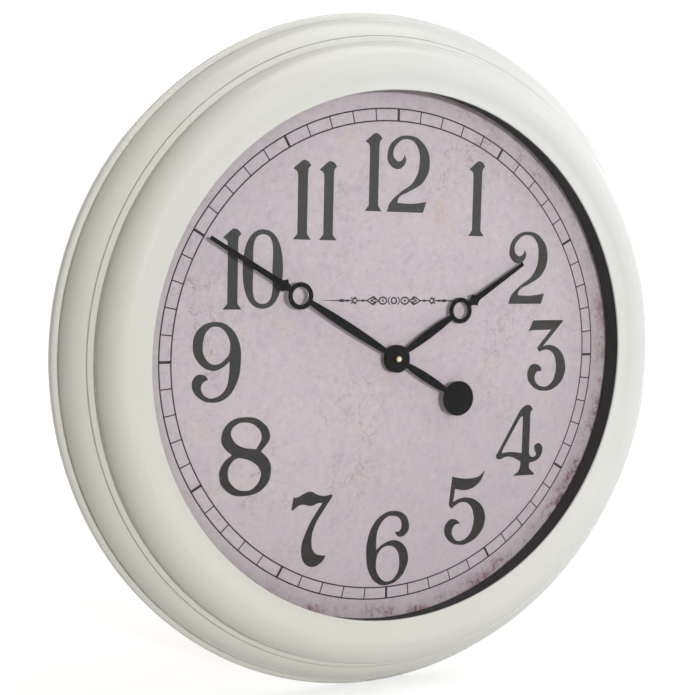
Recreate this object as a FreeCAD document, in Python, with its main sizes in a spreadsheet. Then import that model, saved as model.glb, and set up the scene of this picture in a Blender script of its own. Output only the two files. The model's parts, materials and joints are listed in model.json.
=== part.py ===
# Round wall clock: a cream bezel of two rolls on a rear rim, a glass, a printed dial,
# two pierced hands and a battery quartz movement with its wheels, motor and cell.
# The hands turn about the Y axis, the dial faces -Y and 12 o'clock is at +Z.
# The origin is on the hands' axis, halfway through the clock's depth. Sizes are in millimetres.
import FreeCAD, Part
import math
import os
import re

import Sketcher
from FreeCAD import Rotation, Vector

# Driving sizes. Heights are measured from the wall towards the viewer, angles clockwise from 12.
SIZES = {
    # outside of the clock
    "case_diameter": 600.0,
    # rear rim: the bead at the edge, the plate against the wall, the skirt behind the dial board
    "bead_width": 5.2,
    "bead_height": 8.4,
    "bead_slope": 0.2,
    "bead_round": 3.2,
    "bead_seat": 4.0,
    "rim_plate": 3.0,
    "skirt_lap": 4.0,
    "skirt_wall": 4.0,
    # front bezel: outer roll, small bead, main roll and lip
    "shell_wall": 3.0,
    "foot_chamfer": 0.6,
    "outer_roll_width": 17.0,
    "outer_roll_rise": 21.5,
    "outer_roll_sweep": 70.0,
    "step_width": 5.8,
    "step_rise": 2.45,
    "step_notch": 0.7,
    "step_groove": 1.0,
    "step_shoulder": 1.1,
    "step_sweep": 16.0,
    "roll_side": 3.05,
    "main_roll": 22.0,
    "lip_run": 19.2,
    "lip_drop": 5.5,
    "lip_round": 0.8,
    "lip_edge": 2.0,
    # glass, spacer and dial
    "glass_lap": 6.0,
    "glass_thickness": 3.0,
    "seat_gap": 0.5,
    "spacer_setback": 4.0,
    "spacer_wall": 2.0,
    "spacer_height": 19.5,
    "print_thickness": 0.3,
    "board_thickness": 4.0,
    # screws through the rim into the bezel, outside the crest of the main roll
    "screw_count": 8,
    "screw_offset": 8.0,
    "screw_radius": 1.6,
    "screw_length": 14.0,
    "screw_head_radius": 3.8,
    "screw_head_height": 1.4,
    "screw_recess": 1.6,
    "cross_width": 0.9,
    "cross_depth": 0.8,
    "boss_radius": 5.0,
    "boss_roof": 5.5,
    "part_gap": 0.1,
    # keyhole hanger, midway between the skirt and the bead
    "hanger_width": 46.0,
    "hanger_margin": 9.4,
    "hanger_thickness": 1.5,
    "hanger_border": 9.0,
    "keyhole_radius": 5.0,
    "keyhole_slot": 4.6,
    "keyhole_travel": 10.0,
    "rivet_radius": 1.5,
    "rivet_head_radius": 2.9,
    "rivet_head_height": 1.0,
    # movement housing and the room that it leaves around the wheels
    "gasket_thickness": 1.0,
    "gasket_rim": 5.0,
    "movement_wall": 1.5,
    "wheel_gap": 0.5,
    # threaded bush, washer and nut
    "bush_wall": 0.94,
    "bush_reach": 5.0,
    "washer_rim": 4.5,
    "washer_thickness": 0.6,
    "nut_wall": 1.5,
    "nut_thickness": 2.2,
    # arbors of the hands
    "hour_tube_wall": 0.74,
    "minute_arbor_radius": 2.2,
    "minute_thread_radius": 1.75,
    "minute_tail_radius": 1.5,
    "running_gap": 0.06,
    "hand_gap": 0.3,
    "hand_spacing": 2.1,
    "hand_thickness": 0.8,
    "collet_wall": 1.8,
    "collet_height": 1.0,
    "hand_nut_wall": 1.6,
    "hand_nut_height": 2.6,
    "hand_nut_dome": 0.9,
    "thread_stand": 0.5,
    # outline of the hands
    "hand_hub_radius": 12.2,
    "minute_hand_angle": 300.0,
    "minute_ring_distance": 109.6,
    "minute_tip_gap": 26.2,
    "hour_hand_angle": 57.0,
    "hour_ring_distance": 77.4,
    "hour_shorter": 48.0,
    "ring_outer_radius": 11.6,
    "ring_inner_radius": 7.6,
    "blade_root": 1.0,
    "blade_neck": 4.6,
    "blade_width": 7.7,
    "barb_rise": 6.0,
    "barb_length": 11.0,
    "barb_width": 12.4,
    "pointer_width": 5.5,
    "tip_width": 3.4,
    "weight_distance": 73.4,
    "weight_radius": 15.7,
    # wheels of the movement, in layers behind the front of the housing
    "wheel_thickness": 1.0,
    "layer_pitch": 2.0,
    "layer_start": 0.6,
    "layer_end": 0.9,
    "tooth_share": 0.42,
    "addendum": 0.85,
    "dedendum": 1.2,
    "pivot_radius": 0.6,
    "pivot_depth": 1.0,
    "pivot_end_gap": 0.1,
    "centre_teeth": 60,
    "third_pinion_teeth": 8,
    "centre_module": 0.34,
    "third_angle": 330.0,
    "third_teeth": 64,
    "seconds_pinion_teeth": 8,
    "seconds_teeth": 60,
    "step_pinion_teeth": 12,
    "seconds_module": 0.34,
    "step_angle": 85.0,
    "step_teeth": 48,
    "rotor_pinion_teeth": 8,
    "step_module": 0.3,
    "rotor_angle": 15.0,
    "cannon_teeth": 12,
    "minute_wheel_teeth": 36,
    "motion_module": 0.4,
    "motion_angle": 260.0,
    "minute_pinion_teeth": 10,
    "hour_teeth": 40,
    "stud_radius": 1.0,
    "knob_teeth": 12,
    "knob_angle": 270.0,
    "knob_shaft_radius": 1.4,
    "knob_radius": 5.5,
    "knob_height": 3.0,
    "knob_stand": 0.4,
    "knob_grips": 18,
    "clutch_rim": 2.7,
    "clutch_thickness": 0.4,
    # stepping motor
    "magnet_radius": 3.2,
    "magnet_length": 3.5,
    "stator_rise": 0.4,
    "stator_thickness": 0.9,
    "stator_hole": 3.8,
    "stator_reach": 8.0,
    "stator_gap": 0.9,
    "stator_drop": 5.2,
    "stator_bar": 10.2,
    "stator_leg": 2.4,
    "coil_rise": 2.4,
    "coil_gap": 1.4,
    "core_width": 2.0,
    "core_thickness": 1.0,
    "spool_bore": 1.3,
    "spool_wall": 0.5,
    "spool_radius": 4.0,
    "spool_flange": 0.8,
    "winding_radius": 3.6,
    "circuit_width": 5.0,
    "circuit_length": 13.0,
    "circuit_gap": 0.5,
    "circuit_thickness": 1.0,
    "circuit_start": 2.2,
    # cell and contacts
    "cell_radius": 7.25,
    "cell_length": 50.5,
    "cell_gap": 0.4,
    "cell_end_gap": 0.85,
    "cell_cap_radius": 2.75,
    "cell_cap_length": 1.3,
    "contact_thickness": 0.4,
    "contact_width": 9.0,
    "contact_reach": 11.0,
}

# Places worked out from the driving sizes. The y ones are along the hands' axis, front to back.
PLACES = {
    "case_depth": "bead_height + foot_chamfer + outer_roll_rise + step_rise + roll_side + main_roll",
    "wall_y": "case_depth / 2",
    "front_y": "-case_depth / 2",
    "rim_front_y": "wall_y - rim_plate",
    "case_radius": "case_diameter / 2",
    "foot_radius": "case_radius - bead_width",
    "foot_y": "wall_y - bead_height",
    "roll_end_radius": "foot_radius - outer_roll_width",
    "roll_end_y": "foot_y - foot_chamfer - outer_roll_rise",
    "step_radius": "roll_end_radius - step_width",
    "step_y": "roll_end_y - step_rise",
    "crest_radius": "step_radius - main_roll",
    "lip_radius": "crest_radius - lip_run - lip_round",
    "lip_y": "front_y + lip_drop",
    "seat_edge": "foot_radius - bead_seat",
    "skirt_inner_radius": "lip_radius - skirt_lap",
    "skirt_outer_radius": "skirt_inner_radius + skirt_wall",
    "glass_radius": "lip_radius + glass_lap",
    "glass_y": "lip_y + lip_edge",
    "glass_back_y": "glass_y + glass_thickness",
    "pocket_radius": "glass_radius + seat_gap",
    "spacer_inner_radius": "lip_radius + spacer_setback",
    "dial_y": "glass_back_y + spacer_height",
    "board_y": "dial_y + print_thickness",
    "board_back_y": "board_y + board_thickness",
    "screw_circle": "crest_radius + screw_offset",
    "pilot_radius": "screw_radius + part_gap",
    "hanger_y": "rim_front_y - hanger_thickness",
    "hanger_height": "(seat_edge + skirt_outer_radius) / 2",
    "hanger_length": "seat_edge - skirt_outer_radius - 2 * hanger_margin",
    "keyhole_z": "hanger_height - keyhole_travel / 2",
    "movement_y": "board_back_y + gasket_thickness",
    "chamber_y": "movement_y + movement_wall",
    "cover_y": "chamber_y + layer_start + 5 * layer_pitch + wheel_thickness + layer_end",
    "inner_half_width": "cell_length / 2 + cell_end_gap + contact_thickness",
    "movement_half_width": "inner_half_width + movement_wall",
    "wheel_reach": "max(centre_teeth * centre_module; seconds_teeth * seconds_module) / 2",
    "divider_height": "wheel_reach + addendum * max(centre_module; seconds_module) + wheel_gap",
    "cell_y": "chamber_y + cell_gap + cell_radius",
    "cell_height": "-divider_height - movement_wall - cell_gap - cell_radius",
    "movement_bottom": "cell_radius + cell_gap + movement_wall - cell_height",
    "movement_top": "core_height + spool_radius + coil_gap + movement_wall",
    "bush_front_y": "dial_y - bush_reach",
    "hour_tube_bore": "minute_arbor_radius + running_gap",
    "hour_tube_radius": "hour_tube_bore + hour_tube_wall",
    "bush_bore": "hour_tube_radius + running_gap",
    "bush_radius": "bush_bore + bush_wall",
    "bush_hole": "bush_radius + part_gap",
    "gasket_radius": "bush_radius + gasket_rim",
    "washer_radius": "bush_radius + washer_rim",
    "nut_flats": "2 * (bush_radius + nut_wall)",
    "collet_radius": "hour_tube_radius + collet_wall",
    "hand_nut_radius": "minute_thread_radius + hand_nut_wall",
    "clutch_radius": "minute_tail_radius + clutch_rim",
    "hour_hand_y": "bush_front_y - hand_gap - collet_height",
    "minute_hand_y": "hour_hand_y - hand_thickness - hand_spacing",
    "minute_tip_y": "minute_hand_y - hand_thickness - hand_nut_height - thread_stand",
    "minute_length": "lip_radius - minute_tip_gap",
    "hour_length": "minute_length - hour_shorter",
    "pivot_hole": "pivot_radius + running_gap",
    "third_distance": "(centre_teeth + third_pinion_teeth) * centre_module / 2",
    "third_x": "third_distance * sin(third_angle)",
    "third_z": "third_distance * cos(third_angle)",
    "third_module": "2 * third_distance / (third_teeth + seconds_pinion_teeth)",
    "step_distance": "(seconds_teeth + step_pinion_teeth) * seconds_module / 2",
    "step_x": "step_distance * sin(step_angle)",
    "step_z": "step_distance * cos(step_angle)",
    "rotor_distance": "(step_teeth + rotor_pinion_teeth) * step_module / 2",
    "rotor_x": "step_x + rotor_distance * sin(rotor_angle)",
    "rotor_z": "step_z + rotor_distance * cos(rotor_angle)",
    "motion_distance": "(cannon_teeth + minute_wheel_teeth) * motion_module / 2",
    "motion_x": "motion_distance * sin(motion_angle)",
    "motion_z": "motion_distance * cos(motion_angle)",
    "hour_module": "2 * motion_distance / (minute_pinion_teeth + hour_teeth)",
    "knob_distance": "(minute_wheel_teeth + knob_teeth) * motion_module / 2",
    "knob_x": "motion_x + knob_distance * sin(knob_angle)",
    "knob_z": "motion_z + knob_distance * cos(knob_angle)",
    "knob_hole": "knob_shaft_radius + running_gap",
    "magnet_y": "chamber_y + layer_start + 2 * layer_pitch",
    "stator_y": "magnet_y + wheel_thickness + stator_rise",
    "stator_left": "rotor_x - stator_reach",
    "stator_right": "inner_half_width - stator_gap",
    "stator_bottom": "rotor_z - stator_drop",
    "core_height": "stator_bottom + stator_bar + spool_radius + coil_rise",
    "circuit_right": "inner_half_width - circuit_gap",
    "circuit_bottom": "circuit_gap - divider_height",
}

doc = FreeCAD.newDocument("StationClock")
sheet = doc.addObject("Spreadsheet::Sheet", "Sizes")
for row, (alias, size) in enumerate(SIZES.items(), start=1):
    sheet.set(f"A{row}", alias)
    sheet.set(f"B{row}", str(size))
    sheet.setAlias(f"B{row}", alias)
doc.recompute()


def bound(formula):
    """Write a formula of sizes and places as an expression on the sheet."""
    def spell(match):
        word = match.group(0)
        if word in SIZES:
            return f"Sizes.{word}"
        if word in PLACES:
            return f"({bound(PLACES[word])})"
        return word
    return re.sub(r"[a-z_]+", spell, formula)


def number(formula):
    """Value of a formula, read from the sheet."""
    value = sheet.evalExpression(bound(formula))
    return float(getattr(value, "Value", value))


def layer_y(index):
    """Front of a layer of wheels, as a formula."""
    return f"chamber_y + layer_start + {index} * layer_pitch"


# Sketches whose corners are tied to the sheet


def add_sketch(body, role, offset="0"):
    """Sketch on one of the body's own planes, moved along the plane's normal."""
    sketch = body.newObject("Sketcher::SketchObject", f"{body.Name}_sketch")
    plane = next(item for item in body.Origin.OriginFeatures if item.Role == role)
    sketch.AttachmentSupport = (plane, [""])
    sketch.MapMode = "FlatFace"
    sketch.setExpression("AttachmentOffset.Base.z", bound(offset))
    return sketch


def tie(sketch, kind, *references, formula):
    """Constrain to the value of a formula and keep the two bound."""
    value = number(formula)
    if kind == "Angle":
        value = math.radians(value)
    index = sketch.addConstraint(Sketcher.Constraint(kind, *references, value))
    unit = " * 1 deg" if kind == "Angle" else ""
    sketch.setExpression(f"Constraints[{index}]", f"({bound(formula)}){unit}")


def tie_point(sketch, edge, end, across, along):
    """Fix one end of an edge at a place measured from the origin of the sketch."""
    if number(across) == 0:
        sketch.addConstraint(Sketcher.Constraint("PointOnObject", edge, end, -2))
    else:
        tie(sketch, "DistanceX", -1, 1, edge, end, formula=across)
    if number(along) == 0:
        sketch.addConstraint(Sketcher.Constraint("PointOnObject", edge, end, -1))
    else:
        tie(sketch, "DistanceY", -1, 1, edge, end, formula=along)


def arc_between(start, end, sweep):
    """Arc from start to end that turns left by the sweep in degrees, or right where it is negative."""
    chord = end - start
    half_turn = math.radians(abs(sweep)) / 2
    left = Vector(-chord.y, chord.x, 0).normalize() * math.copysign(1, sweep)
    centre = (start + end) / 2 + left * (chord.Length / 2 / math.tan(half_turn))
    circle = Part.Circle(centre, Vector(0, 0, 1), chord.Length / 2 / math.sin(half_turn))
    first, last = (start, end) if sweep > 0 else (end, start)
    angles = [math.atan2(point.y - centre.y, point.x - centre.x) for point in (first, last)]
    return Part.ArcOfCircle(circle, *angles)


def add_loop(sketch, corners):
    """Closed outline of (x, y) corners. A third entry is the sweep of an arc to the next corner."""
    places = [Vector(number(corner[0]), number(corner[1]), 0) for corner in corners]
    edges = []
    for index, corner in enumerate(corners):
        start = places[index]
        end = places[(index + 1) % len(corners)]
        if len(corner) == 2:
            edge = sketch.addGeometry(Part.LineSegment(start, end), False)
            edges.append((edge, 1, 2))
        else:
            sweep = number(corner[2])
            edge = sketch.addGeometry(arc_between(start, end, sweep), False)
            edges.append((edge, 1, 2) if sweep > 0 else (edge, 2, 1))
    for index, (edge, begin, finish) in enumerate(edges):
        following, next_begin, _ = edges[(index + 1) % len(edges)]
        sketch.addConstraint(Sketcher.Constraint("Coincident", edge, finish, following, next_begin))
        tie_point(sketch, edge, begin, corners[index][0], corners[index][1])
        if len(corners[index]) == 3:
            size = corners[index][2] if number(corners[index][2]) > 0 else f"-({corners[index][2]})"
            tie(sketch, "Angle", edge, formula=size)


def add_circle(sketch, across, along, radius):
    """Circle with a bound centre and radius."""
    centre = Vector(number(across), number(along), 0)
    edge = sketch.addGeometry(Part.Circle(centre, Vector(0, 0, 1), number(radius)), False)
    tie_point(sketch, edge, 3, across, along)
    tie(sketch, "Radius", edge, formula=radius)


def rectangle(left, bottom, right, top):
    """Corners of an upright rectangle."""
    return [(left, bottom), (right, bottom), (right, top), (left, top)]


def draw(sketch, shapes):
    """Draw circles, given as ("circle", x, z, radius), and closed loops of corners."""
    for shape in shapes:
        if shape[0] == "circle":
            add_circle(sketch, *shape[1:])
        else:
            add_loop(sketch, shape)


# Features of a body


def add_body(label):
    """Empty body named after its sub-part."""
    body = doc.addObject("PartDesign::Body", label)
    body.Label = label
    return body


def turned(body, corners, axis="V_Axis"):
    """Solid of revolution of an outline in the XY plane, about Y or about X."""
    sketch = add_sketch(body, "XY_Plane")
    add_loop(sketch, corners)
    feature = body.newObject("PartDesign::Revolution", f"{body.Name}_turning")
    feature.Profile = sketch
    feature.ReferenceAxis = (sketch, [axis])
    feature.Angle = 360
    return feature


def plate(body, back_y, thickness, shapes):
    """Flat layer of an outline in the XZ plane, from its back towards the front."""
    sketch = add_sketch(body, "XZ_Plane", f"-({back_y})")
    draw(sketch, shapes)
    feature = body.newObject("PartDesign::Pad", f"{body.Name}_plate")
    feature.Profile = sketch
    feature.setExpression("Length", bound(thickness))
    return feature


def cut(body, front_y, depth, shapes):
    """Cut an outline in the XZ plane out of a body, from its front towards the back."""
    sketch = add_sketch(body, "XZ_Plane", f"-({front_y})")
    draw(sketch, shapes)
    feature = body.newObject("PartDesign::Pocket", f"{body.Name}_cut")
    feature.Profile = sketch
    feature.setExpression("Length", bound(depth))
    return feature


def around(body, feature, count):
    """Repeat a feature evenly about the hands' axis."""
    pattern = body.newObject("PartDesign::PolarPattern", f"{body.Name}_ring")
    pattern.Originals = [feature]
    axis = next(item for item in body.Origin.OriginFeatures if item.Role == "Y_Axis")
    pattern.Axis = (axis, [""])
    pattern.Angle = 360
    pattern.setExpression("Occurrences", bound(count))
    body.Tip = pattern
    return pattern


# The screws stand midway between even steps from 12 o'clock, clear of the hanger
SCREW_X = "screw_circle * sin(180 / screw_count)"
SCREW_Z = "screw_circle * cos(180 / screw_count)"


# Front bezel


def make_front_bezel():
    body = add_body("front_bezel")
    inner_shell = "pocket_radius + shell_wall"
    roll_turn = "2 * atan(lip_drop / lip_run)"
    turned(body, [
        ("foot_radius - foot_chamfer", "foot_y"),
        ("foot_radius", "foot_y - foot_chamfer", "-outer_roll_sweep"),
        ("roll_end_radius", "roll_end_y"),
        ("roll_end_radius - step_groove / 2", "roll_end_y + step_notch"),
        ("roll_end_radius - step_groove", "roll_end_y - step_shoulder", "-step_sweep"),
        ("step_radius", "step_y"),
        ("step_radius", "front_y + main_roll", "-90"),
        ("crest_radius", "front_y", f"-{roll_turn}"),
        ("crest_radius - lip_run / 2", "front_y + lip_drop / 2", roll_turn),
        ("lip_radius + lip_round", "lip_y", "-90"),
        ("lip_radius", "lip_y + lip_round"),
        ("lip_radius", "glass_y"),
        ("pocket_radius", "glass_y"),
        ("pocket_radius", "board_back_y - board_thickness / 4"),
        (inner_shell, "board_back_y - board_thickness / 4"),
        (inner_shell, "glass_y"),
        ("crest_radius", "front_y + shell_wall", "90"),
        ("step_radius - shell_wall", "front_y + main_roll"),
        ("step_radius - shell_wall", "step_y + shell_wall"),
        ("roll_end_radius - shell_wall / 2", "roll_end_y + step_notch + shell_wall", "outer_roll_sweep"),
        ("foot_radius - shell_wall", "foot_y"),
    ])
    boss = plate(body, "rim_front_y", "case_depth - rim_plate - boss_roof",
                 [("circle", SCREW_X, SCREW_Z, "boss_radius")])
    around(body, boss, "screw_count")
    pilot = cut(body, "rim_front_y - screw_length", "screw_length",
                [("circle", SCREW_X, SCREW_Z, "pilot_radius")])
    around(body, pilot, "screw_count")


# Rear rim


def make_rear_rim():
    body = add_body("rear_rim")
    turned(body, [
        ("skirt_inner_radius", "wall_y"),
        ("case_radius", "wall_y"),
        ("case_radius", "foot_y + bead_slope + bead_round", "-90"),
        ("case_radius - bead_round", "foot_y + bead_slope"),
        ("foot_radius", "foot_y"),
        ("seat_edge", "foot_y"),
        ("seat_edge", "rim_front_y"),
        ("skirt_outer_radius", "rim_front_y"),
        ("skirt_outer_radius", "board_back_y"),
        ("skirt_inner_radius", "board_back_y"),
    ])
    passage = cut(body, "rim_front_y", "rim_plate",
                  [("circle", SCREW_X, SCREW_Z, "screw_radius + seat_gap")])
    around(body, passage, "screw_count")
    recess = cut(body, "wall_y - screw_recess", "screw_recess",
                 [("circle", SCREW_X, SCREW_Z, "screw_head_radius + seat_gap")])
    around(body, recess, "screw_count")
    half_width = "hanger_width / 2 - hanger_border"
    half_length = "hanger_length / 2 - hanger_border / 2"
    window = rectangle(f"-({half_width})", f"hanger_height - ({half_length})",
                       half_width, f"hanger_height + {half_length}")
    cut(body, "rim_front_y", "rim_plate", [window])
    rivet_x = "hanger_width / 2 - hanger_border / 2"
    for side in ("", "-"):
        cut(body, "rim_front_y", "rim_plate",
            [("circle", f"{side}({rivet_x})", "hanger_height", "rivet_radius + part_gap")])
        cut(body, "wall_y - rivet_head_height - part_gap", "rivet_head_height + part_gap",
            [("circle", f"{side}({rivet_x})", "hanger_height", "rivet_head_radius + part_gap")])


# Screws of the rim, one group of equal solids


def make_rim_screws():
    head_y = number("wall_y - screw_recess")
    head_radius = number("screw_head_radius")
    head_height = number("screw_head_height")
    back = Vector(0, 1, 0)
    head = Part.makeCylinder(head_radius, head_height, Vector(0, head_y, 0), back)
    length = number("rim_plate - screw_recess + screw_length * 0.9")
    shank = Part.makeCylinder(number("screw_radius"), length, Vector(0, head_y - length, 0), back)
    screw = head.fuse(shank)
    arm = head_radius * 1.2
    depth = number("cross_depth")
    width = number("cross_width")
    for quarter in (0, 90):
        slot = Part.makeBox(arm, depth, width, Vector(-arm / 2, head_y + head_height - depth, -width / 2))
        slot.rotate(Vector(0, 0, 0), back, quarter)
        screw = screw.cut(slot)
    count = round(number("screw_count"))
    copies = []
    for index in range(count):
        angle = math.tau * (index + 0.5) / count
        copy = screw.copy()
        copy.translate(Vector(math.sin(angle), 0, math.cos(angle)) * number("screw_circle"))
        copies.append(copy)
    add_shape("rim_screws", Part.makeCompound(copies))


def add_shape(label, shape):
    """Sub-part whose form is worked out here from the sheet."""
    feature = doc.addObject("Part::Feature", label)
    feature.Label = label
    feature.Shape = shape


# Glass, spacer, dial sheet and dial board


def make_discs():
    glass = add_body("glass_lens")
    plate(glass, "glass_back_y", "glass_thickness", [("circle", "0", "0", "glass_radius")])
    spacer = add_body("spacer_ring")
    plate(spacer, "dial_y", "dial_y - glass_back_y", [
        ("circle", "0", "0", "spacer_inner_radius + spacer_wall"),
        ("circle", "0", "0", "spacer_inner_radius"),
    ])
    sheet_disc = add_body("dial_print")
    plate(sheet_disc, "board_y", "print_thickness", [
        ("circle", "0", "0", "spacer_inner_radius + spacer_wall"),
        ("circle", "0", "0", "bush_hole"),
    ])
    board = add_body("dial_board")
    plate(board, "board_back_y", "board_thickness", [
        ("circle", "0", "0", "glass_radius"),
        ("circle", "0", "0", "bush_hole"),
    ])


# Keyhole hanger and its rivets


def make_hanger():
    body = add_body("hanger_plate")
    plate(body, "rim_front_y", "hanger_thickness", [
        rectangle("-hanger_width / 2", "hanger_height - hanger_length / 2",
                  "hanger_width / 2", "hanger_height + hanger_length / 2"),
        ("circle", "hanger_width / 2 - hanger_border / 2", "hanger_height", "rivet_radius + part_gap"),
        ("circle", "hanger_border / 2 - hanger_width / 2", "hanger_height", "rivet_radius + part_gap"),
    ])
    cut(body, "hanger_y", "hanger_thickness", [("circle", "0", "keyhole_z", "keyhole_radius")])
    top = "keyhole_z + keyhole_travel"
    cut(body, "hanger_y", "hanger_thickness", [[
        ("-keyhole_slot / 2", "keyhole_z"),
        ("keyhole_slot / 2", "keyhole_z"),
        ("keyhole_slot / 2", top, "180"),
        ("-keyhole_slot / 2", top),
    ]])
    rivets = []
    for side in (-1, 1):
        x = side * number("hanger_width / 2 - hanger_border / 2")
        z = number("hanger_height")
        back = Vector(0, 1, 0)
        head_height = number("rivet_head_height")
        front_y = number("hanger_y") - head_height
        rear_y = number("wall_y") - head_height
        shank = Part.makeCylinder(number("rivet_radius"), rear_y - front_y, Vector(x, front_y, z), back)
        front_head = Part.makeCylinder(number("rivet_head_radius"), head_height, Vector(x, front_y, z), back)
        rear_head = Part.makeCylinder(number("rivet_head_radius"), head_height, Vector(x, rear_y, z), back)
        rivets.append(shank.fuse([front_head, rear_head]))
    add_shape("hanger_rivets", Part.makeCompound(rivets))


# Fixing of the movement: gasket, bush, washer and nut


def make_fixing():
    gasket = add_body("movement_gasket")
    plate(gasket, "movement_y", "gasket_thickness", [
        ("circle", "0", "0", "gasket_radius"),
        ("circle", "0", "0", "bush_hole"),
    ])
    bush = add_body("movement_bush")
    plate(bush, "chamber_y", "chamber_y - bush_front_y", [
        ("circle", "0", "0", "bush_radius"),
        ("circle", "0", "0", "bush_bore"),
    ])
    washer = add_body("bush_washer")
    plate(washer, "dial_y", "washer_thickness", [
        ("circle", "0", "0", "washer_radius"),
        ("circle", "0", "0", "bush_hole"),
    ])
    nut = add_body("bush_nut")
    corner = "nut_flats / cos(30) / 2"
    hexagon = [(f"{corner} * sin({turn})", f"{corner} * cos({turn})") for turn in range(30, 390, 60)]
    plate(nut, "dial_y - washer_thickness", "nut_thickness", [hexagon, ("circle", "0", "0", "bush_hole")])


# Housing of the movement


def make_movement_case():
    body = add_body("movement_case")
    left = "-movement_half_width"
    right = "movement_half_width"
    plate(body, "chamber_y", "movement_wall", [rectangle(left, "-movement_bottom", right, "movement_top")])
    chamber = rectangle("-inner_half_width", "-divider_height",
                        "inner_half_width", "movement_top - movement_wall")
    bay = rectangle("-inner_half_width", "movement_wall - movement_bottom",
                    "inner_half_width", "-divider_height - movement_wall")
    plate(body, "cover_y", "cover_y - chamber_y",
          [rectangle(left, "-movement_bottom", right, "movement_top"), chamber, bay])
    stud_end = f"{layer_y(1)} + wheel_thickness"
    plate(body, stud_end, f"{stud_end} - chamber_y", [("circle", "motion_x", "motion_z", "stud_radius")])
    cut(body, "movement_y", "movement_wall", [("circle", "0", "0", "bush_hole")])
    cut(body, "chamber_y - pivot_depth", "pivot_depth", [
        ("circle", "third_x", "third_z", "pivot_hole"),
        ("circle", "step_x", "step_z", "pivot_hole"),
        ("circle", "rotor_x", "rotor_z", "pivot_hole"),
    ])


def make_movement_cover():
    body = add_body("movement_cover")
    plate(body, "cover_y + movement_wall", "movement_wall", [
        rectangle("-movement_half_width", "-divider_height - movement_wall",
                  "movement_half_width", "movement_top"),
        ("circle", "knob_x", "knob_z", "knob_hole"),
    ])
    cut(body, "cover_y", "pivot_depth", [
        ("circle", "0", "0", "pivot_hole"),
        ("circle", "third_x", "third_z", "pivot_hole"),
        ("circle", "step_x", "step_z", "pivot_hole"),
        ("circle", "rotor_x", "rotor_z", "pivot_hole"),
    ])


# Hands


def blade(start, end):
    """Slim leaf along Z with equal necks, widest halfway between its ends."""
    bow = f"4 * atan((blade_width - blade_neck) / ({end} - ({start})))"
    return [
        ("-blade_neck / 2", start),
        ("blade_neck / 2", start, bow),
        ("blade_neck / 2", end),
        ("-blade_neck / 2", end, bow),
    ]


def pointer(ring_distance, length):
    """Barbed collar beyond the ring, and the tapering pointer out to the tip."""
    edge = f"{ring_distance} + ring_outer_radius"
    foot = f"{edge} - blade_root"
    barb = f"{edge} + barb_rise"
    end = f"{edge} + barb_length"
    collar = [
        ("-blade_neck / 2", foot),
        ("blade_neck / 2", foot, "-50"),
        ("barb_width / 2", barb, "-60"),
        ("pointer_width / 2", end),
        ("-pointer_width / 2", end, "-60"),
        ("-barb_width / 2", barb, "-50"),
    ]
    shaft = [
        ("-pointer_width / 2", end),
        ("pointer_width / 2", end),
        ("tip_width / 2", length),
        ("-tip_width / 2", length),
    ]
    return collar, shaft


def make_hand(label, back_y, ring_distance, length, bore, angle, weight_distance=None):
    """Sheet-metal hand drawn at 12 o'clock and turned to its angle."""
    body = add_body(label)

    def layer(*shapes):
        plate(body, back_y, "hand_thickness", shapes)

    layer(("circle", "0", "0", "hand_hub_radius"))
    layer(blade("hand_hub_radius - blade_root", f"{ring_distance} - ring_outer_radius + blade_root"))
    layer(("circle", "0", ring_distance, "ring_outer_radius"))
    collar, shaft = pointer(ring_distance, length)
    layer(collar)
    layer(shaft)
    if weight_distance:
        layer(blade(f"weight_radius - blade_root - {weight_distance}", "blade_root - hand_hub_radius"))
        layer(("circle", "0", f"-{weight_distance}", "weight_radius"))
    cut(body, f"{back_y} - hand_thickness", "hand_thickness", [
        ("circle", "0", "0", bore),
        ("circle", "0", ring_distance, "ring_inner_radius"),
    ])
    body.Placement.Rotation = Rotation(Vector(0, 1, 0), number(angle))
    body.setExpression("Placement.Rotation.Angle", f"({bound(angle)}) * 1 deg")


def make_hands():
    make_hand("hour_hand", "hour_hand_y", "hour_ring_distance", "hour_length",
              "hour_tube_radius + part_gap / 5", "hour_hand_angle")
    make_hand("minute_hand", "minute_hand_y", "minute_ring_distance", "minute_length",
              "minute_thread_radius + part_gap / 5", "minute_hand_angle", "weight_distance")
    collet = add_body("hour_collet")
    plate(collet, "hour_hand_y + collet_height", "collet_height", [
        ("circle", "0", "0", "collet_radius"),
        ("circle", "0", "0", "hour_tube_radius + part_gap / 5"),
    ])
    nut = add_body("hand_nut")
    seat_y = "minute_hand_y - hand_thickness"
    top_y = f"{seat_y} - hand_nut_height"
    turned(nut, [
        ("minute_thread_radius + part_gap / 5", seat_y),
        ("hand_nut_radius", seat_y),
        ("hand_nut_radius", f"{top_y} + hand_nut_dome", "-90"),
        ("hand_nut_radius - hand_nut_dome", top_y),
        ("minute_thread_radius + part_gap / 5", top_y),
    ])


# Toothed wheels


def tooth_outline(teeth, module, phase):
    """Corners (x, z) of a wheel with radial flanks and rounded tips. The phase is the first tooth's angle."""
    pitch_radius = teeth * module / 2
    half = math.pi * number("tooth_share") / teeth
    tip = number("addendum") * module
    root = number("dedendum") * module
    flank = [
        (pitch_radius - root, 1.0),
        (pitch_radius, 1.0),
        (pitch_radius + tip * 0.55, 0.72),
        (pitch_radius + tip, 0.34),
    ]
    side = [(radius, -share) for radius, share in flank] + flank[::-1]
    corners = []
    for index in range(teeth):
        middle = math.radians(phase) + math.tau * index / teeth
        for radius, share in side:
            angle = middle + share * half
            corners.append((radius * math.sin(angle), radius * math.cos(angle)))
    return corners


def toothed(teeth, module, front_y, phase, x=0.0, z=0.0):
    """Solid wheel one layer thick."""
    points = [Vector(x + across, front_y, z + up) for across, up in tooth_outline(teeth, module, phase)]
    face = Part.Face(Part.makePolygon(points + points[:1]))
    return face.extrude(Vector(0, number("wheel_thickness"), 0))


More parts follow.
